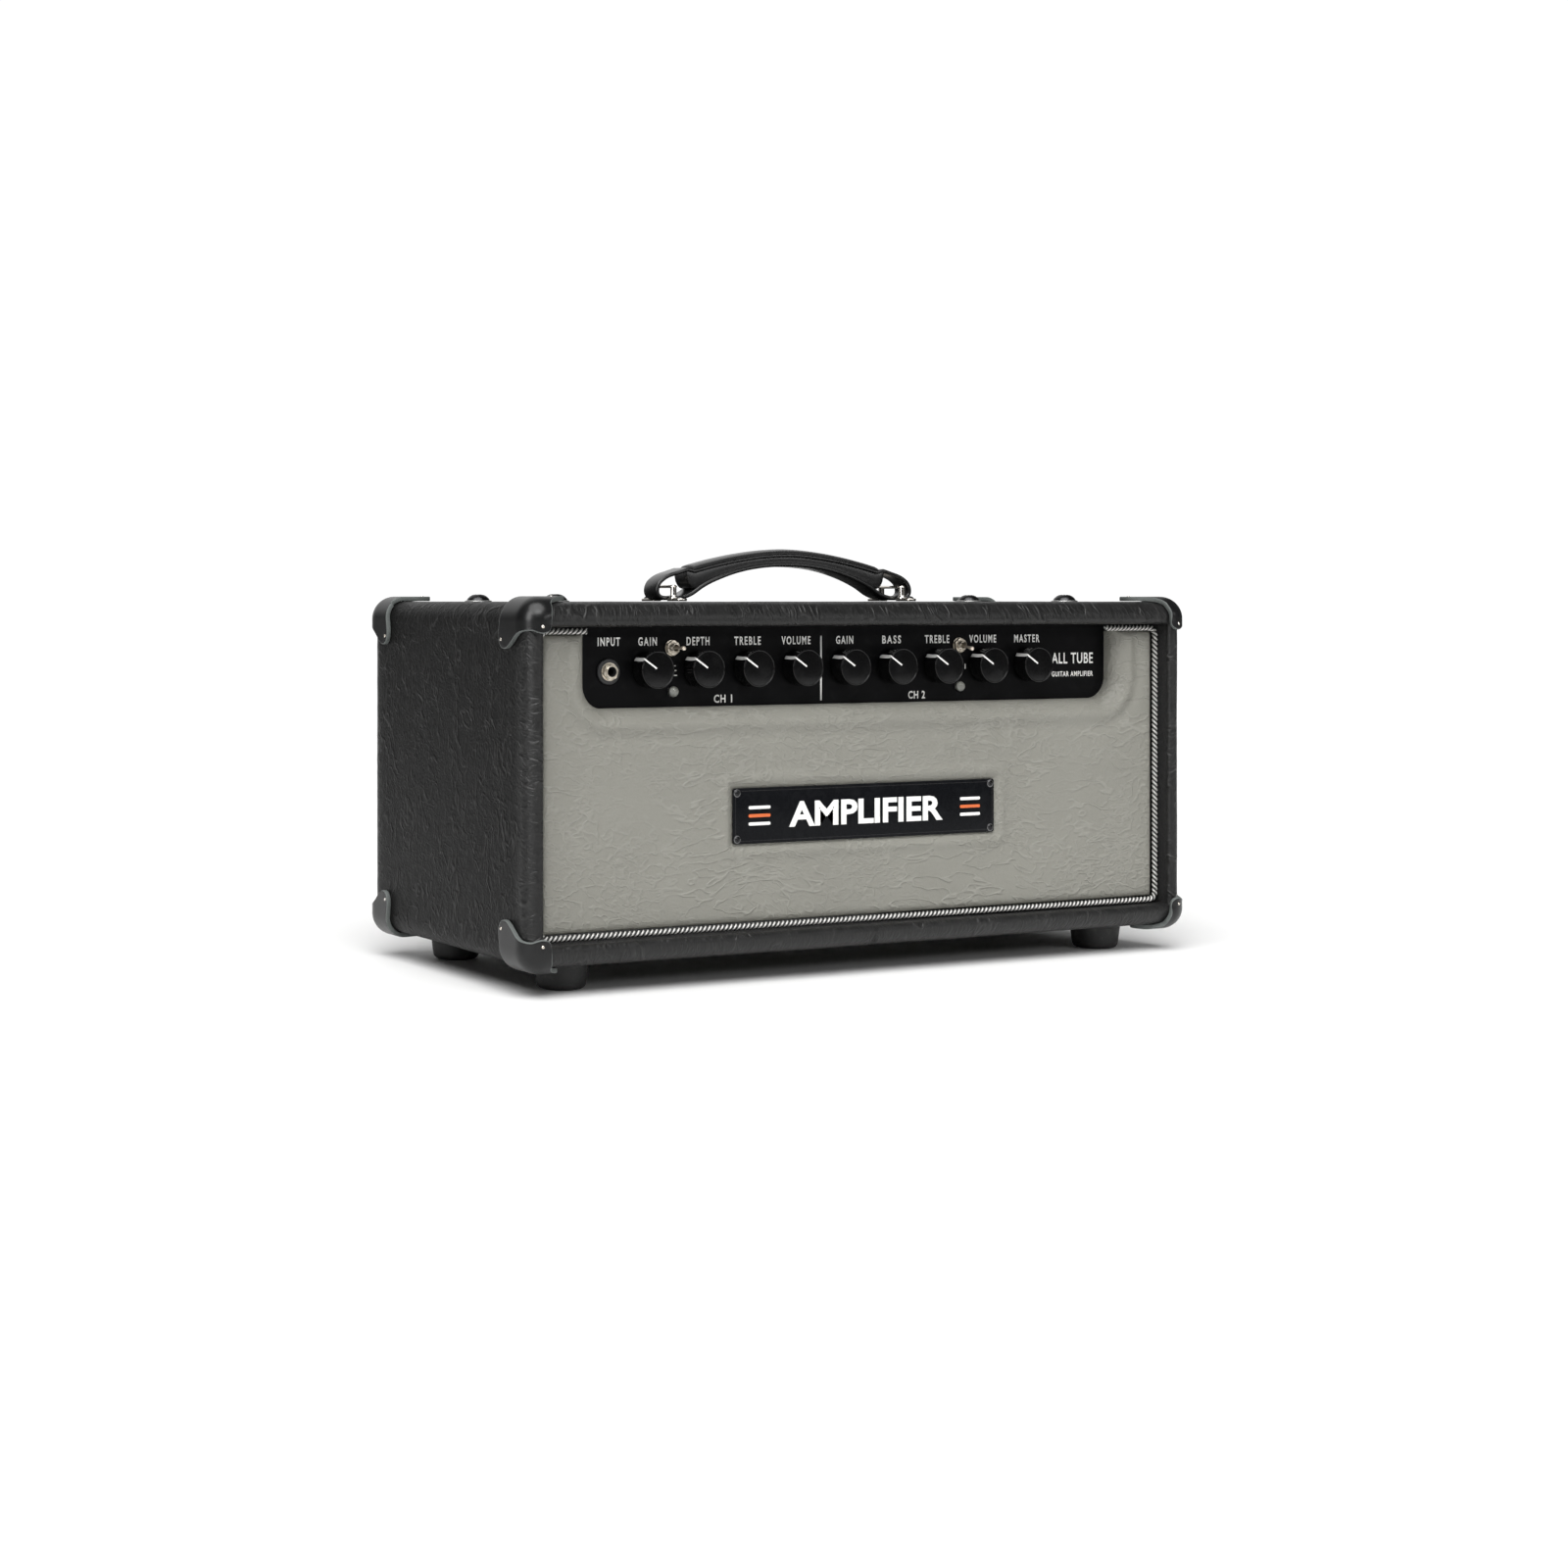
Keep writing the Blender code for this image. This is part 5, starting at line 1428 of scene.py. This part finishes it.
# the bore's lining and the disc at its bottom are painted shade
p.lathe([(3.4, -5.6), (3.8, -5.9), (3.8, 15.9), (3.4, 15.9)], 40, M_PAINTED_SHADE, at=(jx, PANEL_Y, jz), ring=True)
p.lathe([(0, 13.0), (3.5, 13.0), (3.5, 15.8), (0, 15.8)], 24, M_PAINTED_SHADE, at=(jx, PANEL_Y, jz))
p.done(slot="nickel", replaces=("input_jack",), sharp=35)

for k, body in ((1, "bright_lever"), (2, "tone_lever")):
    (tx, _, tz), lo, hi = centre(f"toggle_body_{k}")
    p = Piece(f"switch_bushing_{k}")
    p.lathe(soft([(3.2, 0.0), (6.15, 0.0), (6.15, -0.8), (3.2, -0.8)], 0.2, 2, closed=True), 48, M_WARM, at=(tx, PANEL_Y, tz), ring=True)
    rings = []
    for h, chamfer, inner in ((-0.75, 1.0, False), (-2.55, 1.0, False), (-2.95, 0.92, False), (-3.05, 0.86, False), (-3.05, 0, True), (-0.75, 0, True)):
        ring = []
        for q in range(60):
            a = 2 * math.pi * q / 60
            local = (a - math.radians(22 + 9 * k)) % (math.pi / 3) - math.pi / 6
            rr = 3.1 if inner else min(6.1 * math.cos(math.pi / 6) / math.cos(local), 6.1 * chamfer)
            ring.append((rr * math.cos(a), h, rr * math.sin(a)))
        rings.append(ring)
    p.loft(rings, M_WARM, closed=True, at=(tx, PANEL_Y, tz))
    bush = [(2.6, -6.1), (2.75, -6.4), (3.05, -6.35)]
    h = -6.1
    while h < -3.3:
        bush += [(3.28, h + 0.12), (3.02, h + 0.32)]
        h += 0.42
    bush += [(3.2, -3.1), (3.2, 3.0), (5.4, 3.2), (5.4, 11.8), (0, 11.8), (0, 4.4), (2.6, 4.2)]
    p.lathe(bush[:-3] + [(2.6, 11.8), (2.6, 4.2)], 40, M_WARM, at=(tx, PANEL_Y, tz), ring=True)
    p.done(slot="nickel", replaces=(f"toggle_body_{k}",), sharp=35)

    tilt = (0.0, -11.0)[k - 1]
    lever = [(0.0, 4.0), (0.9, 3.9), (1.15, 3.4), (1.0, -1.0), (0.98, -5.0), (1.05, -8.0), (1.25, -10.4), (1.62, -12.0), (1.66, -13.1), (1.25, -13.85), (0.0, -14.0)]
    p = Piece(f"switch_lever_{k}")
    llo, lhi = box_mm(f"toggle_lever_{k}")
    turn = Matrix.Rotation(math.radians(-tilt), 4, "X")
    p.lathe([lever[0]] + [tuple(q) for q in smooth_line(lever[1:-1], 3)] + [lever[-1]], 28, M_LEVER, at=(tx, -106.0, tz), matrix=turn)
    obj = p.done(body=body, slot="nickel", replaces=(f"toggle_lever_{k}",), sharp=None)

for k in (1, 2):
    (lx, _, lz), lo, hi = centre(f"led_{k}")
    p = Piece(f"lamp_{k}")
    p.lathe(soft([(0.0, -0.2), (3.1, -0.2), (3.25, -1.5), (2.1, -0.7), (0.0, -0.5)], 0.2, 2), 40, M_LENS_BACK, at=(lx, PANEL_Y, lz))
    dome = [(0.0, -5.0)] + [(4.25 * math.sin(math.radians(a)), -1.2 - 3.8 * math.cos(math.radians(a))) for a in range(8, 91, 8)]
    dome += [(4.28, -0.9), (4.28, -0.05), (3.0, 0.02), (3.0, 9.8), (0, 9.8)]
    p.lathe(dome, 48, M_LENS, at=(lx, PANEL_Y, lz))
    p.done(slot="clear_lens", replaces=(f"led_{k}",), sharp=40)

# ---------------------------------------------------------------- back board

lo, hi = box_mm("rear_panel")
p = Piece("back_board")
layer = p.bm.verts.layers.float_vector.new("flow")
zc = float(lo[2] + hi[2]) / 2
vz = (Z0 + 60.0 + Z0 + 132.0) / 2
steps = 9


def loop_at(hx, z0, z1, r, n_side=22):
    """A rounded rectangle with even points along its sides."""
    zc_, hz = (z0 + z1) / 2, (z1 - z0) / 2
    ring = []
    corners = [(hx - r, -hz + r, 270), (hx - r, hz - r, 0), (-hx + r, hz - r, 90), (-hx + r, -hz + r, 180)]
    for q, (cx_, cz_, a0) in enumerate(corners):
        ring += arc(cx_, cz_, r, a0, a0 + 90, 5)
        nx_, nz_, na = corners[(q + 1) % 4]
        count = 8 if q % 2 == 0 else n_side
        ex, ez = cx_ + r * math.cos(math.radians(a0 + 90)), cz_ + r * math.sin(math.radians(a0 + 90))
        fx, fz = nx_ + r * math.cos(math.radians(na)), nz_ + r * math.sin(math.radians(na))
        ring += [(ex + (fx - ex) * k_ / count, ez + (fz - ez) * k_ / count) for k_ in range(1, count)]
    return [(a, b + zc_) for a, b in ring]


outer = (float(hi[0]), float(lo[2]), float(hi[2]), 2.0)
inner = (180.0, Z0 + 60.0, Z0 + 132.0, 4.0)
ys, ye = float(hi[1]), float(lo[1])


def mixed(t, y, grow=0.0):
    a, b = outer, inner
    hx_ = a[0] + (b[0] - a[0]) * t + grow
    z0_ = a[1] + (b[1] - a[1]) * t - grow
    z1_ = a[2] + (b[2] - a[2]) * t + grow
    r_ = a[3] + (b[3] - a[3]) * t
    return [(x_, y, z_) for x_, z_ in loop_at(hx_, z0_, z1_, r_)]


rings = []
for a in range(0, 91, 30):
    t = math.radians(a)
    rings.append(mixed(0, ys - 1.6 * (1 - math.sin(t)), -1.6 * (1 - math.cos(t))))
for k in range(1, steps):
    rings.append(mixed(k / steps, ys))
for a in range(0, 91, 30):
    t = math.radians(90 - a)
    rings.append(mixed(1, ys - 1.8 * (1 - math.sin(t)), 1.8 * (1 - math.cos(t))))
for a in range(0, 91, 45):
    t = math.radians(a)
    rings.append(mixed(1, ye + 1.0 * (1 - math.sin(t)), 1.0 * (1 - math.cos(t))))
for k in range(1, 4):
    rings.append(mixed(1 - k / 4, ye))
for a in range(0, 91, 45):
    t = math.radians(90 - a)
    rings.append(mixed(0, ye + 1.0 * (1 - math.sin(t)), -1.0 * (1 - math.cos(t))))
verts, faces = p.loft(rings, M_VINYL, closed=True)
for v in verts:
    v[layer] = (v.co.z * MM + 0.4, v.co.x * MM + v.co.y * MM, 0.0)
for x in (-282, -141, 0, 141, 282):
    for z in (float(lo[2]) + 11, float(hi[2]) - 11):
        p.lathe(soft([(0, 0.0), (5.6, 0.0), (5.4, 0.5), (3.6, 1.5), (0, 1.5)], 0.3, 3), 36, M_NICKEL, at=(x, ys - 0.1, z))
        p.screw((x, ys + 1.2, z), (0, 1, 0), 3.1, M_DARK_STEEL, 1.3)
p.done(slot="black_vinyl", replaces=("rear_panel",), sharp=50)

# ---------------------------------------------------------------- controls in the chassis's back wall

WALL = 105.4
p = Piece("switch_bezel")
def bezel(p, middle, outer, inner, y0, y1, r, mat):
    """A rectangular frame in the XZ plane, its front rims rounded by r, as one closed ring."""
    (ox, oz), (ix_, iz) = outer, inner
    rings = [(rounded_rect(ox, oz, 2.0, 4), y0)]
    for k in range(4):
        a = math.radians(30 * k)
        k_in = r * (1 - math.cos(a))
        rings.append((rounded_rect(ox - k_in, oz - k_in, 2.0 - k_in * 0.8, 4), y1 - r + r * math.sin(a)))
    for k in range(3, -1, -1):
        a = math.radians(30 * k)
        k_in = r * (1 - math.cos(a))
        rings.append((rounded_rect(ix_ + k_in, iz + k_in, 0.7 + k_in, 4), y1 - r + r * math.sin(a)))
    rings.append((rounded_rect(ix_, iz, 0.7, 4), y0))
    p.loft([[(x, y, z) for x, z in outline] for outline, y in rings], mat, closed=True, at=middle)


lo, hi = box_mm("rear_switch_housing")
zc = Z0 + 216.0
bezel(p, (150.0, 0.0, zc), (23.0, 16.0), (18.58, 11.95), WALL + 0.3, WALL + 2.6, 0.9, M_PLASTIC)
p.block((146.58, WALL + 0.35, zc - 12.6), (153.42, WALL + 2.35, zc + 12.6), M_PLASTIC, r=0.6)
for x0, x1 in ((129.5, 131.3), (146.7, 153.3), (168.7, 170.5)):
    p.block((x0, WALL - 19.8, zc - 14), (x1, WALL + 1.6, zc + 14), M_PLASTIC, r=0.5)
# a black block at the back of the housing, as painted shade
p.block((129.6, WALL - 19.9, zc - 13.9), (170.4, WALL - 12.3, zc + 13.9), M_PAINTED_SHADE, r=0.5)
p.block((129.6, WALL - 19.9, zc - 13.9), (170.4, WALL + 1.4, zc - 12.1), M_PLASTIC, r=0.4)
p.block((129.6, WALL - 19.9, zc + 12.1), (170.4, WALL + 1.4, zc + 13.9), M_PLASTIC, r=0.4)
p.done(slot="black_plastic", replaces=("rear_switch_housing",), sharp=40)

for node, body, x in (("standby_rocker", "standby_switch", 139.0), ("power_rocker", "power_switch", 161.0)):
    p = Piece(node.replace("rocker", "paddle"))
    outline = soft([(-3.0, -10.3), (2.2, -10.5), (3.6, -9.4), (2.7, -4.2), (2.4, 0.0), (2.7, 4.2), (3.6, 9.4), (2.2, 10.5), (-3.0, 10.3)], 0.9, 4, closed=True)
    turn = Matrix.Rotation(math.radians(10.0), 4, "X")
    at = (x, WALL + 1.0, zc)
    rings = []
    for px, k in ((-7.0, 0.955), (-6.85, 0.985), (-6.4, 1.0), (6.4, 1.0), (6.85, 0.985), (7.0, 0.955)):
        rings.append([(px, a * k, b * k) for a, b in outline])
    p.loft(rings, M_PLASTIC, matrix=turn, at=at)
    # raised marks: a bar at the on end, a ring at the off end
    p.slab([(-0.4, 4.6), (0.4, 4.6), (0.4, 7.6), (-0.4, 7.6)], 2.55, 3.42, M_PRINT, r=0.03, steps=1, matrix=turn, at=at)
    p.lathe([(1.0, 2.55), (1.65, 2.55), (1.65, 3.35), (1.0, 3.35)], 32, M_PRINT, ring=True, matrix=turn @ Matrix.Translation((0, 0, -6.0)), at=at)
    p.done(body=body, slot="black_plastic", replaces=(node,), sharp=40)

p = Piece("inlet_socket")
ix = 215.0
bezel(p, (ix, 0.0, 237.0), (24.0, 13.0), (12.1, 8.1), WALL + 0.3, WALL + 3.2, 1.2, M_PLASTIC)
p.block((200.2, WALL - 19.9, 226.1), (229.8, WALL - 14.2, 247.9), M_PLASTIC, r=0.5)
for a, b in (((200.2, 226.1), (229.8, 228.7)), ((200.2, 245.3), (229.8, 247.9)), ((200.2, 226.1), (202.7, 247.9)), ((227.3, 226.1), (229.8, 247.9))):
    p.block((a[0], WALL - 19.8, a[1]), (b[0], WALL + 2.4, b[1]), M_PLASTIC, r=0.5)
for dx, dz in ((-7, -1.6), (0, 2.4), (7, -1.6)):
    p.block((ix + dx - 1.0, WALL - 15.0, 237.0 + dz - 2.0), (ix + dx + 1.0, WALL - 2.0, 237.0 + dz + 2.0), M_NICKEL, r=0.4)
for x in (195.6, 234.4):
    p.screw((x, WALL + 3.1, 237.0), (0, 1, 0), 2.9, M_DARK_STEEL, 1.4)
p.done(slot="black_plastic", replaces=("mains_inlet",), sharp=40)

p = Piece("speaker_sockets")
for x in (-140.0, -110.0, -80.0):
    nut_at = (x, WALL, zc)
    p.lathe(soft([(3.4, 5.0), (3.8, 5.5), (5.1, 5.5), (5.35, 5.0), (5.35, -5.0), (5.35, -8.0), (3.4, -8.0)], 0.3, 2, closed=True), 48, M_NICKEL, at=nut_at, ring=True)
    rings = []
    for h, chamfer, inner_ in ((0.8, 1.0, False), (2.8, 1.0, False), (3.2, 0.93, False), (3.3, 0.87, False), (3.3, 0, True), (0.8, 0, True)):
        ring = []
        for k in range(60):
            a = 2 * math.pi * k / 60
            local = (a - math.radians(10 + x)) % (math.pi / 3) - math.pi / 6
            rr = 5.2 if inner_ else min(8.2 * math.cos(math.pi / 6) / math.cos(local), 8.2 * chamfer)
            ring.append((rr * math.cos(a), h, rr * math.sin(a)))
        rings.append(ring)
    p.loft(rings, M_NICKEL, closed=True, at=nut_at)
    p.lathe(soft([(5.2, 0.05), (9.4, 0.05), (9.4, 0.8), (5.2, 0.8)], 0.2, 2, closed=True), 48, M_NICKEL, at=nut_at, ring=True)
    # the moulded body behind the wall
    body_ring = rounded_rect(13.5, 11.6, 2.0, 4)
    p.slab([(a + x, b + zc) for a, b in body_ring], WALL - 18.0, WALL - 2.4, M_PLASTIC, r=0.8, steps=3)
    # a black plug in each socket's hole, as painted shade
    p.lathe([(0, 2.6), (3.3, 2.6), (3.3, -2.2), (0, -2.2)], 24, M_PAINTED_SHADE, at=(x, WALL - 6.0, zc))
p.done(slot="black_plastic", replaces=("speaker_jack_block",), sharp=38)

p = Piece("selector_dial")
sel = soft([(0.0, -12.0), (2.9, -12.0), (2.9, 0.8), (10.4, 0.8), (10.5, 3.0), (9.0, 4.6), (8.1, 5.6), (7.6, 11.2), (6.8, 12.0), (0.0, 12.0)], 0.6, 3)
p.lathe(sel, 72, M_KNOB, at=(-205.0, WALL, zc))
p.block((-0.55, 1.0, 3.0), (0.55, 12.16, 7.9), M_PRINT, r=0.15, at=(-205.0, WALL, zc))
p.block((-0.5, 3.2, 7.0), (0.5, 4.75, 9.9), M_PRINT, r=0.12, at=(-205.0, WALL, zc))
p.done(body="impedance_knob", slot="gloss_black", replaces=("impedance_selector",), sharp=40)

p = Piece("rear_print")
back = WALL + 0.01
for word, x, z in (("STANDBY", 139.0, zc + 20.0), ("POWER", 161.5, zc + 20.0), ("MAINS", 215.0, zc + 20.0), ("SPEAKERS", -110.0, zc + 20.0),
                   ("OHMS", -205.0, zc - 17.5), ("8", -205.0, zc + 15.6), ("4", -196.2, zc + 13.6), ("16", -214.6, zc + 13.6)):
    p.text(word, 4.2 if len(word) > 2 else 4.6, (x, z), back, M_PRINT_DARK, squeeze=0.58 if len(word) > 2 else 0.75, bold=0.021, depth=0.06, facing=1, spacing=1.14)
p.done(slot="steel", sharp=None)

# ---------------------------------------------------------------- tubes and transformers

for k in range(7):
    power = k < 4
    node = f"power_tube_{k + 1}" if power else f"preamp_tube_{k - 3}"
    (cx, cy, _), lo, hi = centre(node)
    top, length, radius = float(hi[2]), (84.0 if power else 62.0), (11.0 if power else 10.5)
    p = Piece(node.replace("tube", "valve"))
    p.lathe(soft([(0, 0), (radius + 1.4, 0), (radius + 1.4, -6.5), (radius + 0.2, -7.4), (radius + 0.2, -11.8), (0, -11.8)], 0.6, 3), 48,
            M_CERAMIC, at=(cx, cy, top), axis="Z")
    env = [(0.0, -9.0), (radius - 1.0, -9.4), (radius - 0.1, -11.4)] + [(radius - 0.1, -q) for q in np.linspace(14, length - 11, 5)]
    env += [(radius * math.cos(a) * 0.99, -(length - 10) - (radius * 0.75) * math.sin(a)) for a in np.linspace(0.15, 1.32, 8)]
    env += [(1.9, -length + 0.2), (1.2, -length - 2.6), (0.0, -length - 3.9)]
    p.lathe(env, 48, M_GLASS, at=(cx, cy, top), axis="Z")
    plate = rounded_rect(radius * 0.62, radius * 0.42, radius * 0.3, 5)
    p.slab([(a, b) for a, b in plate], -length + 22, -18, M_TUBE_METAL, axis="Z", r=0.4, at=(cx, cy, top), steps=2)
    for h in (-17.0, -length + 21.0):
        p.lathe(soft([(0, h), (radius * 0.86, h), (radius * 0.86, h + 0.5), (0, h + 0.5)], 0.1, 2), 40, M_MICA, at=(cx, cy, top), axis="Z")
    for a in range(4):
        ax, ay = radius * 0.72 * math.cos(a * math.pi / 2), radius * 0.30 * math.sin(a * math.pi / 2 + 0.8)
        p.tube([(cx + ax * 0.6, cy + ay, top - 10), (cx + ax * 0.9, cy + ay, top - 16), (cx + ax * 0.9, cy + ay, top - length + 19)], 0.45, 8, M_STEEL)
    p.lathe([(0, -length + 17.2), (radius * 0.45, -length + 17.2), (radius * 0.5, -length + 16.4), (radius * 0.42, -length + 15.8), (0, -length + 16.0)],
            32, M_GETTER, at=(cx, cy, top), axis="Z")
    p.done(slot="tube_glass", replaces=(node,), sharp=40)

for node, (cx, cy), (w, d, h), bell in (("power_transformer", (188.0, 20.0), (48.0, 86.0, 78.0), 84.0), ("output_transformer", (-188.0, 20.0), (40.0, 72.0, 64.0), 70.0)):
    lo, hi = box_mm(node)
    top = float(hi[2])
    p = Piece(node.replace("transformer", "iron"))
    n_lam = 24
    for q in range(n_lam):
        x0 = cx - w / 2 + w * q / n_lam
        inset = 0.25 if q % 2 else 0.0
        p.slab([(cy - d / 2 + inset, top - h + inset), (cy + d / 2 - inset, top - h + inset), (cy + d / 2 - inset, top - inset), (cy - d / 2 + inset, top - inset)],
               x0, x0 + w / n_lam, M_LAMINATION, axis="X", r=0.15, steps=1)
    for sx in (-1, 1):
        x0, x1 = cx + sx * w / 2, cx + sx * bell / 2
        rings = []
        for k in range(9):
            t = k / 8
            x = x0 + (x1 - x0) * math.sin(math.pi / 2 * t)
            inset = 6.5 + 7.0 * (1 - math.cos(math.pi / 2 * t))
            ring = rounded_rect(d / 2 - inset, h / 2 - inset, 7.0, 5)
            rings.append([(x, cy + a, top - h / 2 + b) for a, b in ring])
        p.loft(rings, M_IRON)
        flange = rounded_rect(d / 2 - 1.0, h / 2 - 1.0, 5.0, 4)
        p.slab([(cy + a, top - h / 2 + b) for a, b in flange], x0 + (0 if sx > 0 else -1.6), x0 + (1.6 if sx > 0 else 0), M_IRON, axis="X", r=0.4, steps=2)
        for sy in (-1, 1):
            for sz in (-1, 1):
                p.screw((x0 + sx * 1.5, cy + sy * (d / 2 - 5.2), top - h / 2 + sz * (h / 2 - 5.2)), (sx, 0, 0), 3.4, M_STEEL, 2.0)
    p.done(slot="transformer", replaces=(node,), sharp=40)

# ---------------------------------------------------------------- everything else keeps its CAD mesh
PLAIN = {"steel": M_STEEL, "transformer": M_IRON, "board": M_BOARD, "tube_glass": M_GLASS, "black_steel": M_DARK_STEEL,
         "black_plastic": M_PLASTIC, "nickel": M_NICKEL, "gloss_black": M_KNOB, "panel_black": M_PANEL, "rubber": M_RUBBER,
         "leather": M_LEATHER, "plate": M_PLATE, "clear_lens": M_LENS, "braid": M_WHITE_CORD, "grey_vinyl": M_GREY,
         "black_vinyl": M_LEATHER}
NODE_MATS = {"rear_vent_grille": M_GRILLE}
for node_name, obj in frame["nodes"].items():
    material = NODE_MATS.get(node_name)
    if material is None:
        material = next((m for key, m in PLAIN.items() if obj.data.materials and obj.data.materials[0]
                         and obj.data.materials[0].name.split(".")[0] == key), M_DARK_STEEL)
    obj.data.materials.clear()
    obj.data.materials.append(material)

# ---------------------------------------------------------------- floor, light, camera

floor_mesh = bpy.data.meshes.new("studio_floor")
fv, ff = [(0.0, 0.0, -0.0003)], []
radii, spokes = (0.4, 0.8, 1.3, 1.9, 2.6, 3.3), 64
for r in radii:
    fv += [(r * math.cos(2 * math.pi * i / spokes), r * math.sin(2 * math.pi * i / spokes), -0.0003) for i in range(spokes)]
for i in range(spokes):
    ff.append((0, 1 + i, 1 + (i + 1) % spokes))
    for k in range(len(radii) - 1):
        a, b = 1 + k * spokes, 1 + (k + 1) * spokes
        ff.append((a + i, b + i, b + (i + 1) % spokes, a + (i + 1) % spokes))
floor_mesh.from_pydata(fv, [], ff)
floor_mesh.materials.append(M_FLOOR)
floor = bpy.data.objects.new("studio_floor", floor_mesh)
SC.collection.objects.link(floor)

world = bpy.data.worlds.new("studio")
SC.world = world
world.use_nodes = True
wt = world.node_tree
bg = wt.nodes["Background"]


def wmath(op, a, b=None):
    n = wt.nodes.new("ShaderNodeMath")
    n.operation = op
    for i, v in enumerate((a, b)):
        if isinstance(v, (int, float)):
            n.inputs[i].default_value = v
        elif v is not None:
            wt.links.new(v, n.inputs[i])
    return n.outputs[0]


# a pale backdrop glow behind the object and a dim room elsewhere; the camera sees plain white
way = wt.nodes.new("ShaderNodeTexCoord").outputs["Generated"]
dot = wt.nodes.new("ShaderNodeVectorMath")
dot.operation = "DOT_PRODUCT"
wt.links.new(way, dot.inputs[0])
dot.inputs[1].default_value = (0.15, 0.852, 0.501)
glow = wt.nodes.new("ShaderNodeMapRange")
glow.interpolation_type = "SMOOTHSTEP"
glow.inputs["From Min"].default_value, glow.inputs["From Max"].default_value = 0.74, 0.93
glow.inputs["To Min"].default_value, glow.inputs["To Max"].default_value = 0.075, 0.90
wt.links.new(dot.outputs["Value"], glow.inputs["Value"])
path_info = wt.nodes.new("ShaderNodeLightPath")
seen = wmath("MULTIPLY", path_info.outputs["Is Camera Ray"], 1.05)
felt = wmath("MULTIPLY", wmath("SUBTRACT", 1.0, path_info.outputs["Is Camera Ray"]), glow.outputs["Result"])
wt.links.new(wmath("ADD", seen, felt), bg.inputs["Strength"])
bg.inputs["Color"].default_value = (1.0, 1.0, 1.0, 1)


def softbox(name, at, target, width, height, power, colour=(1, 1, 1)):
    data = bpy.data.lights.new(name, "AREA")
    data.shape, data.size, data.size_y = "RECTANGLE", width, height
    data.energy, data.color = power, colour
    obj = bpy.data.objects.new(name, data)
    obj.location = at
    obj.rotation_euler = (Vector(target) - Vector(at)).to_track_quat("-Z", "Y").to_euler()
    obj.visible_camera = False
    SC.collection.objects.link(obj)
    return obj


overhead = bpy.data.lights.new("overhead", "SUN")
overhead.energy, overhead.angle = 3.75, math.radians(60)
overhead_obj = bpy.data.objects.new("overhead", overhead)
overhead_obj.rotation_euler = Vector((-0.34, -0.45, 1.0)).to_track_quat("Z", "Y").to_euler()
SC.collection.objects.link(overhead_obj)
softbox("key", (-0.95, -1.65, 1.85), (-0.1, -0.05, 0.2), 0.95, 0.60, 7)
# a strip at the left that only shines, for the line along the leather corners and the knobs' rims
strip = softbox("strip", (-1.74, -0.66, 0.85), (-0.30, -0.12, 0.26), 0.60, 1.10, 15.0)
strip.visible_diffuse = False
# a low card, mirrored by the domed faces of the knobs
softbox("card", (1.08, -2.60, 1.08), (-0.1, -0.1, 0.2), 2.3, 0.40, 13.0)

cam_data = bpy.data.cameras.new("photo_camera")
cam_data.sensor_width = 36.0
cam_data.lens = 57.08
cam = bpy.data.objects.new("photo_camera", cam_data)
cam.location = (-1.171, -1.705, 0.2888)
cam.rotation_euler = (math.radians(90), 0, math.radians(-25.6))
SC.collection.objects.link(cam)
SC.camera = cam


def shift_driver(path, value):
    """The lens shift belongs to the photo's own view, not to the turntable ones."""
    d = cam_data.driver_add(path).driver
    d.type = "SCRIPTED"
    v = d.variables.new()
    v.name = "x"
    v.type = "TRANSFORMS"
    v.targets[0].id = cam
    v.targets[0].transform_type = "LOC_X"
    v.targets[0].transform_space = "WORLD_SPACE"
    d.expression = f"{value} if abs(x + 1.171) < 0.01 else 0.0"


shift_driver("shift_x", 0.25)
shift_driver("shift_y", -0.117)

SC.view_settings.view_transform = "Standard"

bpy.context.view_layer.update()
